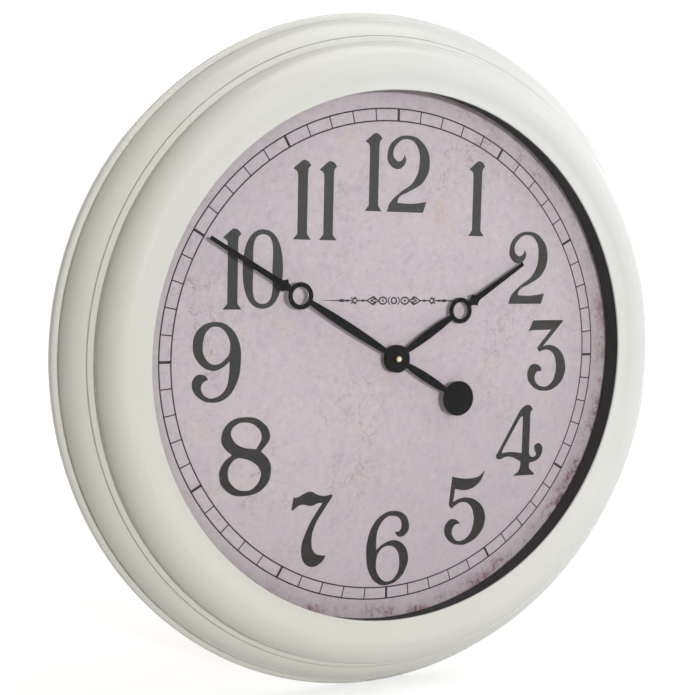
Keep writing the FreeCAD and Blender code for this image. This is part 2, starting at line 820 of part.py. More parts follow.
def rod(radius, front_y, back_y, x=0.0, z=0.0):
    """Round bar along the hands' axis."""
    return Part.makeCylinder(radius, back_y - front_y, Vector(x, front_y, z), Vector(0, 1, 0))


def meshed(phase, teeth, other_teeth, direction):
    """Phase of a wheel that meshes with another one, given the direction towards it in degrees."""
    share = (direction - phase) / (360 / teeth) + 0.5
    return direction + 180 + share * 360 / other_teeth


def teeth_of(name):
    return round(number(name))


def pivoted(name):
    """Ends of an arbor that turns in the housing and in its cover."""
    reach = number("pivot_depth - pivot_end_gap")
    front = number("chamber_y") - reach
    back = number("cover_y") + reach
    x = number(f"{name}_x")
    z = number(f"{name}_z")
    return rod(number("pivot_radius"), front, back, x, z), x, z


# Wheels between the hands: arbor of the minute hand, minute wheel, hour wheel and setting knob


def make_motion_work():
    layers = [number(layer_y(index)) for index in range(3)]
    thickness = number("wheel_thickness")
    module = number("motion_module")
    direction = number("motion_angle")
    motion_x = number("motion_x")
    motion_z = number("motion_z")

    cannon = toothed(teeth_of("cannon_teeth"), module, layers[1], 0)
    arbor = rod(number("minute_arbor_radius"), number("minute_hand_y"), layers[1])
    thread = rod(number("minute_thread_radius"), number("minute_tip_y"), number("minute_hand_y"))
    tail_end = layers[2] + thickness + number("part_gap")
    tail = rod(number("minute_tail_radius"), layers[1] + thickness, tail_end)
    socket = rod(number("pivot_hole"), tail_end - number("pivot_depth"), tail_end)
    add_shape("minute_arbor", cannon.fuse([arbor, thread, tail]).cut(socket))

    washer_back = layers[2] - number("part_gap")
    washer_front = washer_back - number("clutch_thickness")
    hole = rod(number("minute_tail_radius + part_gap / 5"), washer_front, washer_back)
    add_shape("clutch_washer", rod(number("clutch_radius"), washer_front, washer_back).cut(hole))

    wheel_phase = meshed(0, teeth_of("cannon_teeth"), teeth_of("minute_wheel_teeth"), direction)
    wheel = toothed(teeth_of("minute_wheel_teeth"), module, layers[1], wheel_phase, motion_x, motion_z)
    hour_module = number("hour_module")
    pinion = toothed(teeth_of("minute_pinion_teeth"), hour_module, layers[0], 0, motion_x, motion_z)
    root = number("hour_module * (minute_pinion_teeth / 2 - dedendum)")
    neck = rod(root, layers[0] + thickness, layers[1], motion_x, motion_z)
    bore = rod(number("stud_radius + running_gap"), layers[0], layers[1] + thickness, motion_x, motion_z)
    add_shape("minute_wheel", wheel.fuse([pinion, neck]).cut(bore))

    hour_phase = meshed(0, teeth_of("minute_pinion_teeth"), teeth_of("hour_teeth"), direction + 180)
    hour_disc = toothed(teeth_of("hour_teeth"), hour_module, layers[0], hour_phase)
    tube_front = number("hour_hand_y - hand_thickness")
    tube = rod(number("hour_tube_radius"), tube_front, layers[0])
    tube_bore = rod(number("hour_tube_bore"), tube_front, layers[0] + thickness)
    add_shape("hour_wheel", hour_disc.fuse(tube).cut(tube_bore))

    knob_x = number("knob_x")
    knob_z = number("knob_z")
    knob_phase = meshed(wheel_phase, teeth_of("minute_wheel_teeth"), teeth_of("knob_teeth"),
                        number("knob_angle"))
    knob_pinion = toothed(teeth_of("knob_teeth"), module, layers[1], knob_phase, knob_x, knob_z)
    knob_front = number("cover_y + movement_wall + knob_stand")
    knob_back = knob_front + number("knob_height")
    shaft = rod(number("knob_shaft_radius"), layers[1] + thickness, knob_front, knob_x, knob_z)
    knob = rod(number("knob_radius"), knob_front, knob_back, knob_x, knob_z)
    grips = round(number("knob_grips"))
    for index in range(grips):
        angle = math.tau * index / grips
        grip_x = knob_x + math.sin(angle) * number("knob_radius")
        grip_z = knob_z + math.cos(angle) * number("knob_radius")
        knob = knob.cut(rod(number("knob_radius / knob_grips"), knob_front, knob_back, grip_x, grip_z))
    add_shape("set_knob", knob_pinion.fuse([shaft, knob]))


# Going train from the motor to the clutch


def make_going_train():
    layers = [number(layer_y(index)) for index in range(6)]
    thickness = number("wheel_thickness")
    end_gap = number("pivot_end_gap")

    centre = toothed(teeth_of("centre_teeth"), number("centre_module"), layers[2], 0)
    bore = rod(number("minute_tail_radius + running_gap"), layers[2], layers[2] + thickness)
    add_shape("centre_wheel", centre.cut(bore))

    arbor, x, z = pivoted("third")
    phase = meshed(0, teeth_of("centre_teeth"), teeth_of("third_pinion_teeth"), number("third_angle"))
    pinion = toothed(teeth_of("third_pinion_teeth"), number("centre_module"), layers[2], phase, x, z)
    wheel = toothed(teeth_of("third_teeth"), number("third_module"), layers[3], 0, x, z)
    add_shape("third_wheel", arbor.fuse([pinion, wheel]))

    phase = meshed(0, teeth_of("third_teeth"), teeth_of("seconds_pinion_teeth"), number("third_angle + 180"))
    pinion = toothed(teeth_of("seconds_pinion_teeth"), number("third_module"), layers[3], phase)
    wheel = toothed(teeth_of("seconds_teeth"), number("seconds_module"), layers[4], 0)
    front = layers[2] + thickness + number("part_gap - pivot_depth") + end_gap
    back = number("cover_y + pivot_depth") - end_gap
    add_shape("seconds_wheel", rod(number("pivot_radius"), front, back).fuse([pinion, wheel]))

    arbor, x, z = pivoted("step")
    phase = meshed(0, teeth_of("seconds_teeth"), teeth_of("step_pinion_teeth"), number("step_angle"))
    pinion = toothed(teeth_of("step_pinion_teeth"), number("seconds_module"), layers[4], phase, x, z)
    wheel = toothed(teeth_of("step_teeth"), number("step_module"), layers[5], 0, x, z)
    add_shape("step_wheel", arbor.fuse([pinion, wheel]))

    arbor, x, z = pivoted("rotor")
    phase = meshed(0, teeth_of("step_teeth"), teeth_of("rotor_pinion_teeth"), number("rotor_angle"))
    pinion = toothed(teeth_of("rotor_pinion_teeth"), number("step_module"), layers[5], phase, x, z)
    add_shape("rotor_arbor", arbor.fuse(pinion))


# Stepping motor and circuit


def make_motor():
    magnet = add_body("rotor_magnet")
    plate(magnet, "magnet_y + magnet_length", "magnet_length", [
        ("circle", "rotor_x", "rotor_z", "magnet_radius"),
        ("circle", "rotor_x", "rotor_z", "pivot_radius + part_gap / 5"),
    ])
    stator = add_body("stator")
    bar_top = "stator_bottom + stator_bar"
    leg_top = "core_height + core_width / 2"
    plate(stator, "stator_y + stator_thickness", "stator_thickness", [
        [
            ("stator_left", "stator_bottom"),
            ("stator_right", "stator_bottom"),
            ("stator_right", leg_top),
            ("stator_right - stator_leg", leg_top),
            ("stator_right - stator_leg", bar_top),
            ("stator_left + stator_leg", bar_top),
            ("stator_left + stator_leg", leg_top),
            ("stator_left", leg_top),
        ],
        ("circle", "rotor_x", "rotor_z", "stator_hole"),
    ])
    core = add_body("coil_core")
    plate(core, "stator_y", "core_thickness", [
        rectangle("stator_left", "core_height - core_width / 2",
                  "stator_right", "core_height + core_width / 2"),
    ])
    left = "stator_left + stator_leg + part_gap"
    right = "stator_right - stator_leg - part_gap"
    tube = "spool_bore + spool_wall"
    spool = add_body("coil_bobbin")
    turned(spool, [
        (left, "spool_bore"),
        (right, "spool_bore"),
        (right, "spool_radius"),
        (f"{right} - spool_flange", "spool_radius"),
        (f"{right} - spool_flange", tube),
        (f"{left} + spool_flange", tube),
        (f"{left} + spool_flange", "spool_radius"),
        (left, "spool_radius"),
    ], "H_Axis")
    winding = add_body("coil_winding")
    turned(winding, rectangle(f"{left} + spool_flange", f"{tube} + part_gap / 5",
                              f"{right} - spool_flange", "winding_radius"), "H_Axis")
    for body in (spool, winding):
        body.setExpression("Placement.Base.y", bound("stator_y - core_thickness / 2"))
        body.setExpression("Placement.Base.z", bound("core_height"))
    board = add_body("circuit_board")
    plate(board, "chamber_y + circuit_start", "circuit_thickness", [
        rectangle("circuit_right - circuit_width", "circuit_bottom",
                  "circuit_right", "circuit_bottom + circuit_length"),
    ])


# Cell and its contacts


def make_cell():
    body = add_body("battery")
    negative = "-cell_length / 2"
    shoulder = "cell_length / 2 - cell_cap_length"
    turned(body, [
        (negative, "0"),
        ("cell_length / 2", "0"),
        ("cell_length / 2", "cell_cap_radius"),
        (shoulder, "cell_cap_radius"),
        (shoulder, "cell_radius"),
        (negative, "cell_radius"),
    ], "H_Axis")
    body.setExpression("Placement.Base.y", bound("cell_y"))
    body.setExpression("Placement.Base.z", bound("cell_height"))
    for label, left in (("positive_contact", "inner_half_width - contact_thickness"),
                        ("negative_contact", "-inner_half_width")):
        contact = doc.addObject("Part::Box", label)
        contact.Label = label
        contact.setExpression("Length", bound("contact_thickness"))
        contact.setExpression("Width", bound("contact_reach"))
        contact.setExpression("Height", bound("contact_width"))
        contact.setExpression("Placement.Base.x", bound(left))
        contact.setExpression("Placement.Base.y", bound("chamber_y"))
        contact.setExpression("Placement.Base.z", bound("cell_height - contact_width / 2"))


make_front_bezel()
make_rear_rim()
make_rim_screws()
make_discs()
make_hanger()
make_fixing()
make_movement_case()
make_movement_cover()
make_hands()
make_motion_work()
make_going_train()
make_motor()
make_cell()
doc.recompute()

# Every feature must have worked before anything is written
faulty = [item.Name for item in doc.Objects if "Invalid" in item.State or "Error" in item.State]
if faulty:
    raise ValueError(f"features that failed: {faulty}")
os.makedirs("parts", exist_ok=True)
pieces = [item for item in doc.Objects if item.TypeId in ("PartDesign::Body", "Part::Feature", "Part::Box")]
for piece in pieces:
    if piece.Shape.isNull() or not piece.Shape.isValid():
        raise ValueError(f"{piece.Label} has no sound shape")
    piece.Shape.exportStep(f"parts/{piece.Label}.step")
    box = piece.Shape.optimalBoundingBox()
    extent = " x ".join(f"{length:.2f}" for length in (box.XLength, box.YLength, box.ZLength))
    print(f"{piece.Label}: {len(piece.Shape.Solids)} solid(s), {extent}")
print(f"{len(pieces)} sub-parts written")
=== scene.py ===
# %% [markdown]
# # A station clock in Blender
# The clock arrives as a frame of solid parts at their real size: the bezel, the glass, the hands,
# the movement and so on. This lesson dresses them. It gives every part a finish made of shader
# nodes, prints the dial with modelled figures, and sets up the studio and the camera.
# Lengths are in metres. +Z is up, the dial faces -Y and the hands turn about the Y axis.

# %% Load the frame
import json
import math

import bmesh
import bpy
from mathutils import Matrix, Vector


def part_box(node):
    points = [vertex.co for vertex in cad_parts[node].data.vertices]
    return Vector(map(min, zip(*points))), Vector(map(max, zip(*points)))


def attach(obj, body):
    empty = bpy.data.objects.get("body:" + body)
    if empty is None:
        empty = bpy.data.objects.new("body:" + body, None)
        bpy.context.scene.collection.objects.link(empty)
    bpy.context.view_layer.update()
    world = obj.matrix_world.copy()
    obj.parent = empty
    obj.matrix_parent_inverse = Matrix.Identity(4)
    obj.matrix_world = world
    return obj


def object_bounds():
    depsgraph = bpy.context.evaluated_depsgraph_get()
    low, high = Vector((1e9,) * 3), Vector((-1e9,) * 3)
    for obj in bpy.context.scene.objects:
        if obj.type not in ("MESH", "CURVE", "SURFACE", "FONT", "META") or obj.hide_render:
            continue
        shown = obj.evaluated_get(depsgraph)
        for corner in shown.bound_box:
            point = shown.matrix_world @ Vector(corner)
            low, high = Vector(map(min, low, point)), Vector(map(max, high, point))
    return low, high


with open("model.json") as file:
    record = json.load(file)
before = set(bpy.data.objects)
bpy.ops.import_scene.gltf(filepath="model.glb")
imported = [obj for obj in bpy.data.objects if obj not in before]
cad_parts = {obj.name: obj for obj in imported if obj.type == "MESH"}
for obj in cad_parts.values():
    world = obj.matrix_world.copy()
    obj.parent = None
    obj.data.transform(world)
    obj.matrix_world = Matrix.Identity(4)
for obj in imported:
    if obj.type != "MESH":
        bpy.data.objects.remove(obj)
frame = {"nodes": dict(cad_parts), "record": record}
cad_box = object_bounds()
MM = 0.001
print("parts loaded:", len(frame["nodes"]))

# %% [markdown]
# ## Sums with sockets
# A finish is a graph of nodes, and most of the graph is arithmetic on masks and noises. Adding and
# linking a Math node for each step by hand hides the idea, so a small class wraps an output socket
# and turns Python's own operators into Math nodes. `1 - mask` then reads as it would on paper.

# %% A socket that does sums
class Value:
    """An output socket that adds a Math node for every sum."""

    def __init__(self, finish, socket):
        self.finish = finish
        self.socket = socket

    def math(self, operation, *others):
        """One Math node on this value and others."""
        inputs = dict(enumerate((self, *others)))
        return self.finish.add("ShaderNodeMath", {"operation": operation}, inputs)

    def __add__(self, other):
        return self.math("ADD", other)

    def __sub__(self, other):
        return self.math("SUBTRACT", other)

    def __rsub__(self, other):
        return self.finish.add("ShaderNodeMath", {"operation": "SUBTRACT"}, {0: other, 1: self})

    def __mul__(self, other):
        return self.math("MULTIPLY", other)

    __radd__ = __add__
    __rmul__ = __mul__

    def ramp(self, low, high):
        """0 below low, 1 above high, and a soft step between them. Low may be the larger one."""
        span = {"From Min": low, "From Max": high, "Value": self}
        return self.finish.add("ShaderNodeMapRange", {"interpolation_type": "SMOOTHSTEP"}, span)

    def near(self, middle, width):
        """1 where the value is at the middle, and 0 where it is a width away or more."""
        return (self - middle).math("ABSOLUTE").ramp(width, 0.0)


def distance(across, along):
    """How far a point is from the origin of two coordinates."""
    return (across * across + along * along).math("SQRT")


print("sums with sockets ready")

# %% [markdown]
# ## One graph for each finish
# A `Finish` is the graph of one material. Every node comes from `Finish.add`: its settings are set
# first, then its sockets. The graph starts with Object coordinates, which are the clock's own metres
# because every object sits at the origin, so a pattern keeps its true scale on every part. The
# world has a graph of the same kind, so the class takes either of them as its owner.

# %% A finish
USUAL_IOR = 1.45
MIX_FACTOR, MIX_FIRST, MIX_SECOND, MIX_RESULT = 0, 6, 7, 2  # sockets of a Mix node for colours


class Finish:
    """The graph of one material or world, and the helpers that fill it."""

    def __init__(self, owner, output="ShaderNodeOutputMaterial", coordinates="Object"):
        owner.use_nodes = True
        self.owner = owner
        self.tree = owner.node_tree
        self.tree.nodes.clear()
        self.output = self.tree.nodes.new(output)
        self.place = self.add("ShaderNodeTexCoord", output=coordinates)

    def add(self, kind, settings=None, inputs=None, output=0):
        """Add a node, give it its settings and then its sockets, and wrap one of its outputs."""
        node = self.tree.nodes.new(kind)
        for name, setting in (settings or {}).items():
            setattr(node, name, setting)
        for name, given in (inputs or {}).items():
            if isinstance(given, Value):
                self.tree.links.new(given.socket, node.inputs[name])
            else:
                node.inputs[name].default_value = given
        return Value(self, node.outputs[output])

    def axes(self):
        """The three coordinates, each as a value."""
        inputs = {"Vector": self.place}
        return [self.add("ShaderNodeSeparateXYZ", None, inputs, axis) for axis in "XYZ"]

    def radius(self):
        """Distance from the axis of the hands."""
        x, _, z = self.axes()
        return distance(x, z)

    def stretched(self, x, y, z):
        """Coordinates scaled along each axis, for grain that runs one way."""
        return self.add("ShaderNodeMapping", None, {"Vector": self.place, "Scale": (x, y, z)})

    def noise(self, scale, detail=2.0, roughness=0.5, place=None):
        """Cloudy noise of about this many cells to the metre."""
        inputs = {
            "Vector": place or self.place,
            "Scale": scale,
            "Detail": detail,
            "Roughness": roughness,
        }
        return self.add("ShaderNodeTexNoise", None, inputs)

    def blend(self, mask, first, second):
        """First colour where the mask is 0, second where it is 1."""
        inputs = {MIX_FACTOR: mask, MIX_FIRST: first, MIX_SECOND: second}
        return self.add("ShaderNodeMix", {"data_type": "RGBA"}, inputs, MIX_RESULT)

    def layered(self, colour, layers):
        """Lay more colours over a colour. Each layer has a name, a mask and a colour."""
        for mask, over in layers.values():
            colour = self.blend(mask, colour, over)
        return colour

    def bump(self, height, depth):
        """Normal of a surface that rises by depth, in metres, where the height is 1."""
        return self.add("ShaderNodeBump", None, {"Height": height, "Distance": depth})

    def principled(self, **sockets):
        """Finish with a Principled shader. Socket names have _ for their spaces."""
        inputs = {name.replace("_", " "): given for name, given in sockets.items()}
        inputs["IOR"] = USUAL_IOR
        self.show(self.add("ShaderNodeBsdfPrincipled", None, inputs))
        return self.owner

    def show(self, shader):
        """Link a shader to the graph's output."""
        self.tree.links.new(shader.socket, self.output.inputs["Surface"])


def new_finish(name):
    """An empty finish for a new material."""
    return Finish(bpy.data.materials.new(name))


def tone(red, green, blue):
    """A colour with its alpha, as sockets want it."""
    return (red, green, blue, 1.0)


finishes = {}
print("finish helpers ready")

# %% [markdown]
# ## Cream paint on the bezel and the rear rim
# The frame is a moulding sprayed satin cream. Up close such paint is not flat: it has a faint
# orange peel, a slow change of tone, and grey dust with painted shade in the grooves beside the
# small bead and in the seam with the rear rim, the seam's painted shade heaviest at the foot.
# Grooves and seam are circles about the hands' axis, so a mask on the radius finds them, with no
# painting by hand. The cream is painted darker and yellower low on the left and lighter on the upper
# right: a painted shade and a painted light for light that falls off across the frame.

# %% Cream paint
GROOVE_RADII = (277.3 * MM, 272.0 * MM)
SEAM_RADIUS = 294.6 * MM
GROOVE_HALF_WIDTH = 0.6 * MM
# Grey dust with painted shade in the grooves and the seam; the seam's painted shade is heaviest at
# the foot.
GROOVE_DUST_AND_SHADE = 0.24
SEAM_DUST_AND_SHADE = 0.30
SEAM_SHADE_AT_FOOT = 0.65
# Painted shade and painted light: the cream low on the left, and on the upper right.
CREAM_PAINTED_SHADE = tone(0.621, 0.609, 0.554)
CREAM_PAINTED_LIGHT = tone(0.704, 0.707, 0.686)
SWELL_TO_PEEL = 12.0
PEEL_DEPTH = 0.01 * MM


def groove_dust_and_shade(finish, height):
    """How thickly dust and painted shade lie in the seam and in the grooves, the seam's shade
    heaviest at the foot.
    """
    radius = finish.radius()
    dust_and_shade = radius.near(SEAM_RADIUS, GROOVE_HALF_WIDTH)
    # Painted shade in the seam, heaviest at the foot.
    dust_and_shade = dust_and_shade * (SEAM_DUST_AND_SHADE + height.ramp(0.05, -0.20) * SEAM_SHADE_AT_FOOT)
    for groove in GROOVE_RADII:
        dust_and_shade = radius.near(groove, GROOVE_HALF_WIDTH) * GROOVE_DUST_AND_SHADE + dust_and_shade
    return dust_and_shade * finish.noise(30.0, 4.0).ramp(0.2, 0.6)


def cream_paint():
    finish = new_finish("cream_paint")
    x, _, height = finish.axes()
    clouds = finish.noise(7.0, 3.0)
    specks = finish.noise(420.0, 2.0)
    # Dust with painted shade in the seam and the grooves.
    dust_and_shade = groove_dust_and_shade(finish, height)
    # Painted light and shade: lighter to the upper right, darker and yellower low on the left.
    painted_light_and_shade = (x * 0.8 + height * 0.6).ramp(-0.25, 0.25)
    cream = finish.blend(painted_light_and_shade, CREAM_PAINTED_SHADE, CREAM_PAINTED_LIGHT)
    colour = finish.layered(cream, {
        "clouds": (clouds.ramp(0.3, 0.7) * 0.25, tone(0.60, 0.595, 0.545)),
        "specks": (specks.ramp(0.62, 0.75) * 0.12, tone(0.50, 0.49, 0.43)),
        "dust_and_shade": (dust_and_shade, tone(0.22, 0.21, 0.18)),
    })
    peel = finish.noise(700.0, 1.0)
    swell = finish.noise(26.0, 1.0)
    return finish.principled(
        Base_Color=colour,
        Roughness=0.20 + clouds * 0.06 + dust_and_shade * 0.3,
        Normal=finish.bump(peel + swell * SWELL_TO_PEEL, PEEL_DEPTH),
        Specular_IOR_Level=0.5,
    )


finishes["cream_case"] = cream_paint()
print("made", finishes["cream_case"].name)

# %% [markdown]
# ## The aged paper of the dial
# The dial is a printed sheet made to look old. It is a pale lilac grey with slow pink and blue
# clouds, fine grain and a few hairline cracks. Painted shade makes the paper darker towards the
# lower right and greyer in the margin under the lip, most on the left, and rust-coloured stains
# gather at the edge. Each of these is one layer: a colour and its mask, which is noise at its own
# scale, cut by a soft threshold. The stains also need the distance from the centre, and the side of
# the dial that they are on.

# %% Marks on the paper
STAIN_START = 214.0 * MM
UPPER_STAIN_START = 208.0 * MM
STAIN_END = 234.0 * MM


def hairlines(finish, scale, width, patches):
    """Thin cracks: the line where a noise crosses its middle, kept only in some patches."""
    return finish.noise(scale, 6.0, 0.62).near(0.5, width) * patches


def spot(finish, x_middle, z_middle, size):
    """1 in the middle of a round spot and 0 at its rim."""
    x, _, z = finish.axes()
    return distance(x - x_middle, z - z_middle).ramp(size, size * 0.3)


def edge_stains(finish, radius):
    """Granular stains near the edge: at the foot, and weaker on the right and at one o'clock."""
    x, _, z = finish.axes()
    edge = radius.ramp(STAIN_START, STAIN_END)
    upper_edge = radius.ramp(UPPER_STAIN_START, STAIN_END)
    foot = (x * 0.25 - z).ramp(0.10, 0.21) * edge
    right = (x - z * 0.1).ramp(0.165, 0.215) * edge * 0.75
    upper = (x * 0.6 + z * 0.8).ramp(0.200, 0.228) * upper_edge * 0.7
    blots = finish.noise(38.0, 5.0, 0.7).ramp(0.44, 0.62)
    dots = finish.noise(330.0, 3.0, 0.7).ramp(0.40, 0.58)
    return (foot + right + upper) * (blots * 0.90 + 0.08) * (dots * 0.75 + 0.25)


print("stains from", STAIN_START, "to", STAIN_END, "m")

# %% Dial paper
DIAL_EDGE = 230.0 * MM
LIP_SHADE_START = 213.0 * MM
CRACKED_PLACE = (-168 * MM, 48 * MM, 34 * MM)  # x, z and radius
RUST_PLACE = (47 * MM, 128 * MM, 20 * MM)
LILAC = tone(0.550, 0.476, 0.524)
PALE_LILAC = tone(0.582, 0.500, 0.540)
PAPER_GRAIN_DEPTH = 0.05 * MM


def dial_paper():
    finish = new_finish("dial_paper")
    x, _, z = finish.axes()
    radius = finish.radius()
    slow = finish.noise(5.0, 3.0, 0.55)
    blotch = finish.noise(52.0, 6.0, 0.68)
    mottle = finish.noise(170.0, 5.0, 0.70)
    specks = finish.noise(650.0, 2.0)
    wrinkled = finish.noise(16.0, 3.0).ramp(0.47, 0.60)
    cracked = finish.noise(14.0, 2.0).ramp(0.57, 0.66) + spot(finish, *CRACKED_PLACE)
    wrinkles = hairlines(finish, 62.0, 0.020, wrinkled)
    cracks = hairlines(finish, 34.0, 0.010, cracked.math("MINIMUM", 1.0))
    rust = spot(finish, *RUST_PLACE) * blotch.ramp(0.40, 0.62)
    # Painted shade: the paper darker towards the foot and the lower right.
    painted_shade_low = (x * 0.4 - z).ramp(0.0, 0.20)
    # Painted shade under the lip in the margin, heaviest on the left.
    lip_shade = radius.ramp(LIP_SHADE_START, DIAL_EDGE) * (x.ramp(-0.05, -0.20) * 0.30 + 0.05)
    paper = finish.blend(slow.ramp(0.34, 0.66), LILAC, PALE_LILAC)
    colour = finish.layered(paper, {
        "warm blotches": (blotch.ramp(0.46, 0.68) * 0.75, tone(0.590, 0.520, 0.500)),
        "dark blotches": (blotch.ramp(0.46, 0.30) * 0.65, tone(0.488, 0.408, 0.466)),
        "dark mottle": (mottle.ramp(0.50, 0.74) * 0.65, tone(0.432, 0.362, 0.410)),
        "pale mottle": (mottle.ramp(0.46, 0.26) * 0.60, tone(0.705, 0.612, 0.675)),
        "specks": (specks.ramp(0.60, 0.76) * 0.45, tone(0.36, 0.29, 0.31)),
        "wrinkles": (wrinkles * 0.38, tone(0.36, 0.29, 0.29)),
        "cracks": (cracks * 0.75, tone(0.30, 0.22, 0.18)),
        "rust": (rust * 0.35, tone(0.58, 0.38, 0.30)),
        "painted shade at the foot": (painted_shade_low * 0.24, tone(0.36, 0.30, 0.34)),
        "edge stains": (edge_stains(finish, radius), tone(0.200, 0.085, 0.085)),
        "painted shade under the lip": (lip_shade, tone(0.33, 0.30, 0.31)),
    })
    return finish.principled(
        Base_Color=colour,
        Roughness=0.62 + mottle * 0.15,
        Normal=finish.bump(mottle + specks * 0.5, PAPER_GRAIN_DEPTH),
        Specular_IOR_Level=0.2,
    )


finishes["dial_paper"] = dial_paper()
print("made", finishes["dial_paper"].name)

# %% [markdown]
# ## Ink
# Printed ink soaks into such paper unevenly. The figures are a worn dark grey with brownish
# patches, greyer at the top of the dial where light has faded them, and the thin lines of the
# minute track are a little redder. One function makes both.

# %% Printing ink
RUBBED_INK = tone(0.30, 0.26, 0.28)
INK_GRAIN_DEPTH = 0.02 * MM


def printing_ink(name, fresh, faded, worn):
    finish = new_finish(name)
    fading = finish.axes()[2].ramp(-0.20, 0.20)
    patches = finish.noise(38.0, 5.0, 0.65).ramp(0.42, 0.66)
    pinholes = finish.noise(520.0, 2.0).ramp(0.64, 0.72)
    rubbed = finish.noise(120.0, 4.0, 0.7).ramp(0.62, 0.74) * patches
    colour = finish.layered(fresh, {
        "faded by light": (fading, faded),
        "worn patches": (patches * 0.5, worn),
        "pinholes and rubbed places": (pinholes * 0.18 + rubbed * 0.6, RUBBED_INK),
    })
    return finish.principled(
        Base_Color=colour,
        Roughness=0.55 + patches * 0.15,
        Normal=finish.bump(finish.noise(1500.0, 2.0), INK_GRAIN_DEPTH),
        Specular_IOR_Level=0.25,
    )


figure_ink = printing_ink("figure_ink", tone(0.028, 0.026, 0.025), tone(0.064, 0.066, 0.066),
                          tone(0.060, 0.046, 0.040))
track_ink = printing_ink("track_ink", tone(0.034, 0.026, 0.029), tone(0.042, 0.034, 0.038),
                         tone(0.080, 0.058, 0.060))
print("made", figure_ink.name, "and", track_ink.name)

# %% [markdown]
# ## Glass
# A pane that bends light would hide the dial from the lamps, because a lamp's ray cannot find its
# way through it. A thin flat pane hardly bends anything, so it is a mix of a Transparent and a
# Glossy shader. The share of the Glossy one grows with the fifth power of the slant of the view, so
# the pane is clear from the front and shiny at a low angle, as real glass is.

# %% Clear glass
WHITE = tone(1, 1, 1)
GLASS_TINT = tone(0.985, 0.992, 0.990)
GLASS_ROUGHNESS = 0.02
SHINE_FROM_FRONT = 0.002
SHINE_AT_EDGE = 0.55
SHINE_POWER = 5.0


def clear_glass():
    finish = new_finish("clear_glass")
    slant = finish.add("ShaderNodeLayerWeight", None, {"Blend": 0.5}, "Facing")
    smear = finish.noise(9.0, 3.0).ramp(0.4, 0.7)
    shine = slant.math("POWER", SHINE_POWER) * (SHINE_AT_EDGE + smear * 0.06) + SHINE_FROM_FRONT
    clear = finish.add("ShaderNodeBsdfTransparent", None, {"Color": GLASS_TINT})
    gloss = finish.add("ShaderNodeBsdfGlossy", None, {"Color": WHITE, "Roughness": GLASS_ROUGHNESS})
    finish.show(finish.add("ShaderNodeMixShader", None, {0: shine, 1: clear, 2: gloss}))
    return finish.owner


finishes["clear_glass"] = clear_glass()
print("made", finishes["clear_glass"].name)

# %% [markdown]
# ## Plastics
# Moulded plastics differ in colour, in gloss and in the grain of their mould. One recipe serves
# the black spacer and housing, the white wheels, the grey knob, the rubber gasket and the green
# board: a base tone with a slow change, a worn lighter or darker tone in patches, and a fine bump.

# %% Moulded plastics
PLASTICS = {  # base tone, worn tone, roughness, scale of the grain and its depth
    "black_spacer": (tone(0.029, 0.029, 0.029), tone(0.040, 0.039, 0.039), 0.62, 900.0, 0.04 * MM),
    "black_housing": (tone(0.020, 0.020, 0.021), tone(0.032, 0.032, 0.033), 0.44, 1800.0, 0.05 * MM),
    "white_wheels": (tone(0.78, 0.77, 0.72), tone(0.72, 0.70, 0.64), 0.36, 1500.0, 0.01 * MM),
    "grey_knob": (tone(0.20, 0.20, 0.21), tone(0.26, 0.26, 0.27), 0.42, 1500.0, 0.02 * MM),
    "black_rubber": (tone(0.018, 0.018, 0.018), tone(0.03, 0.03, 0.03), 0.75, 1200.0, 0.04 * MM),
    "green_board": (tone(0.020, 0.120, 0.055), tone(0.030, 0.160, 0.075), 0.30, 600.0, 0.01 * MM),
}


def moulded(name, base, worn, roughness, grain_scale, grain_depth):
    finish = new_finish(name)
    slow = finish.noise(60.0, 3.0)
    grain = finish.noise(grain_scale, 2.0)
    return finish.principled(
        Base_Color=finish.blend(slow.ramp(0.45, 0.75) * 0.6, base, worn),
        Roughness=roughness + slow * 0.10,
        Normal=finish.bump(grain, grain_depth),
    )


for slot, recipe in PLASTICS.items():
    finishes[slot] = moulded(slot, *recipe)
print("made plastics:", ", ".join(PLASTICS))

# %% [markdown]
# ## Black hands
# The hands are stamped from sheet and sprayed satin black. They are not pure black: the spray
# leaves a fine texture that scatters a soft sheen, and the paint is a touch greyer where it is thin.

# %% Satin black hands
HAND_BLACK = tone(0.0065, 0.0065, 0.0068)
HAND_THIN_BLACK = tone(0.0110, 0.0105, 0.0105)
SPRAY_DEPTH = 0.02 * MM


def satin_black():
    finish = new_finish("satin_black")
    slow = finish.noise(45.0, 3.0)
    spray = finish.noise(1600.0, 2.0)
    return finish.principled(
        Base_Color=finish.blend(slow.ramp(0.4, 0.7), HAND_BLACK, HAND_THIN_BLACK),
        Roughness=0.40 + slow * 0.12,
        Normal=finish.bump(spray, SPRAY_DEPTH),
        Specular_IOR_Level=0.14,
    )


finishes["black_hands"] = satin_black()
print("made", finishes["black_hands"].name)

# %% [markdown]
# ## Metals
# Turned brass, zinc-plated steel, a sintered magnet, enamelled copper and the bare jacket of the
# cell are all metals under one recipe. Stretching the noise along one axis gives the brushed or
# turned grain, and a slow noise gives tarnish in patches.

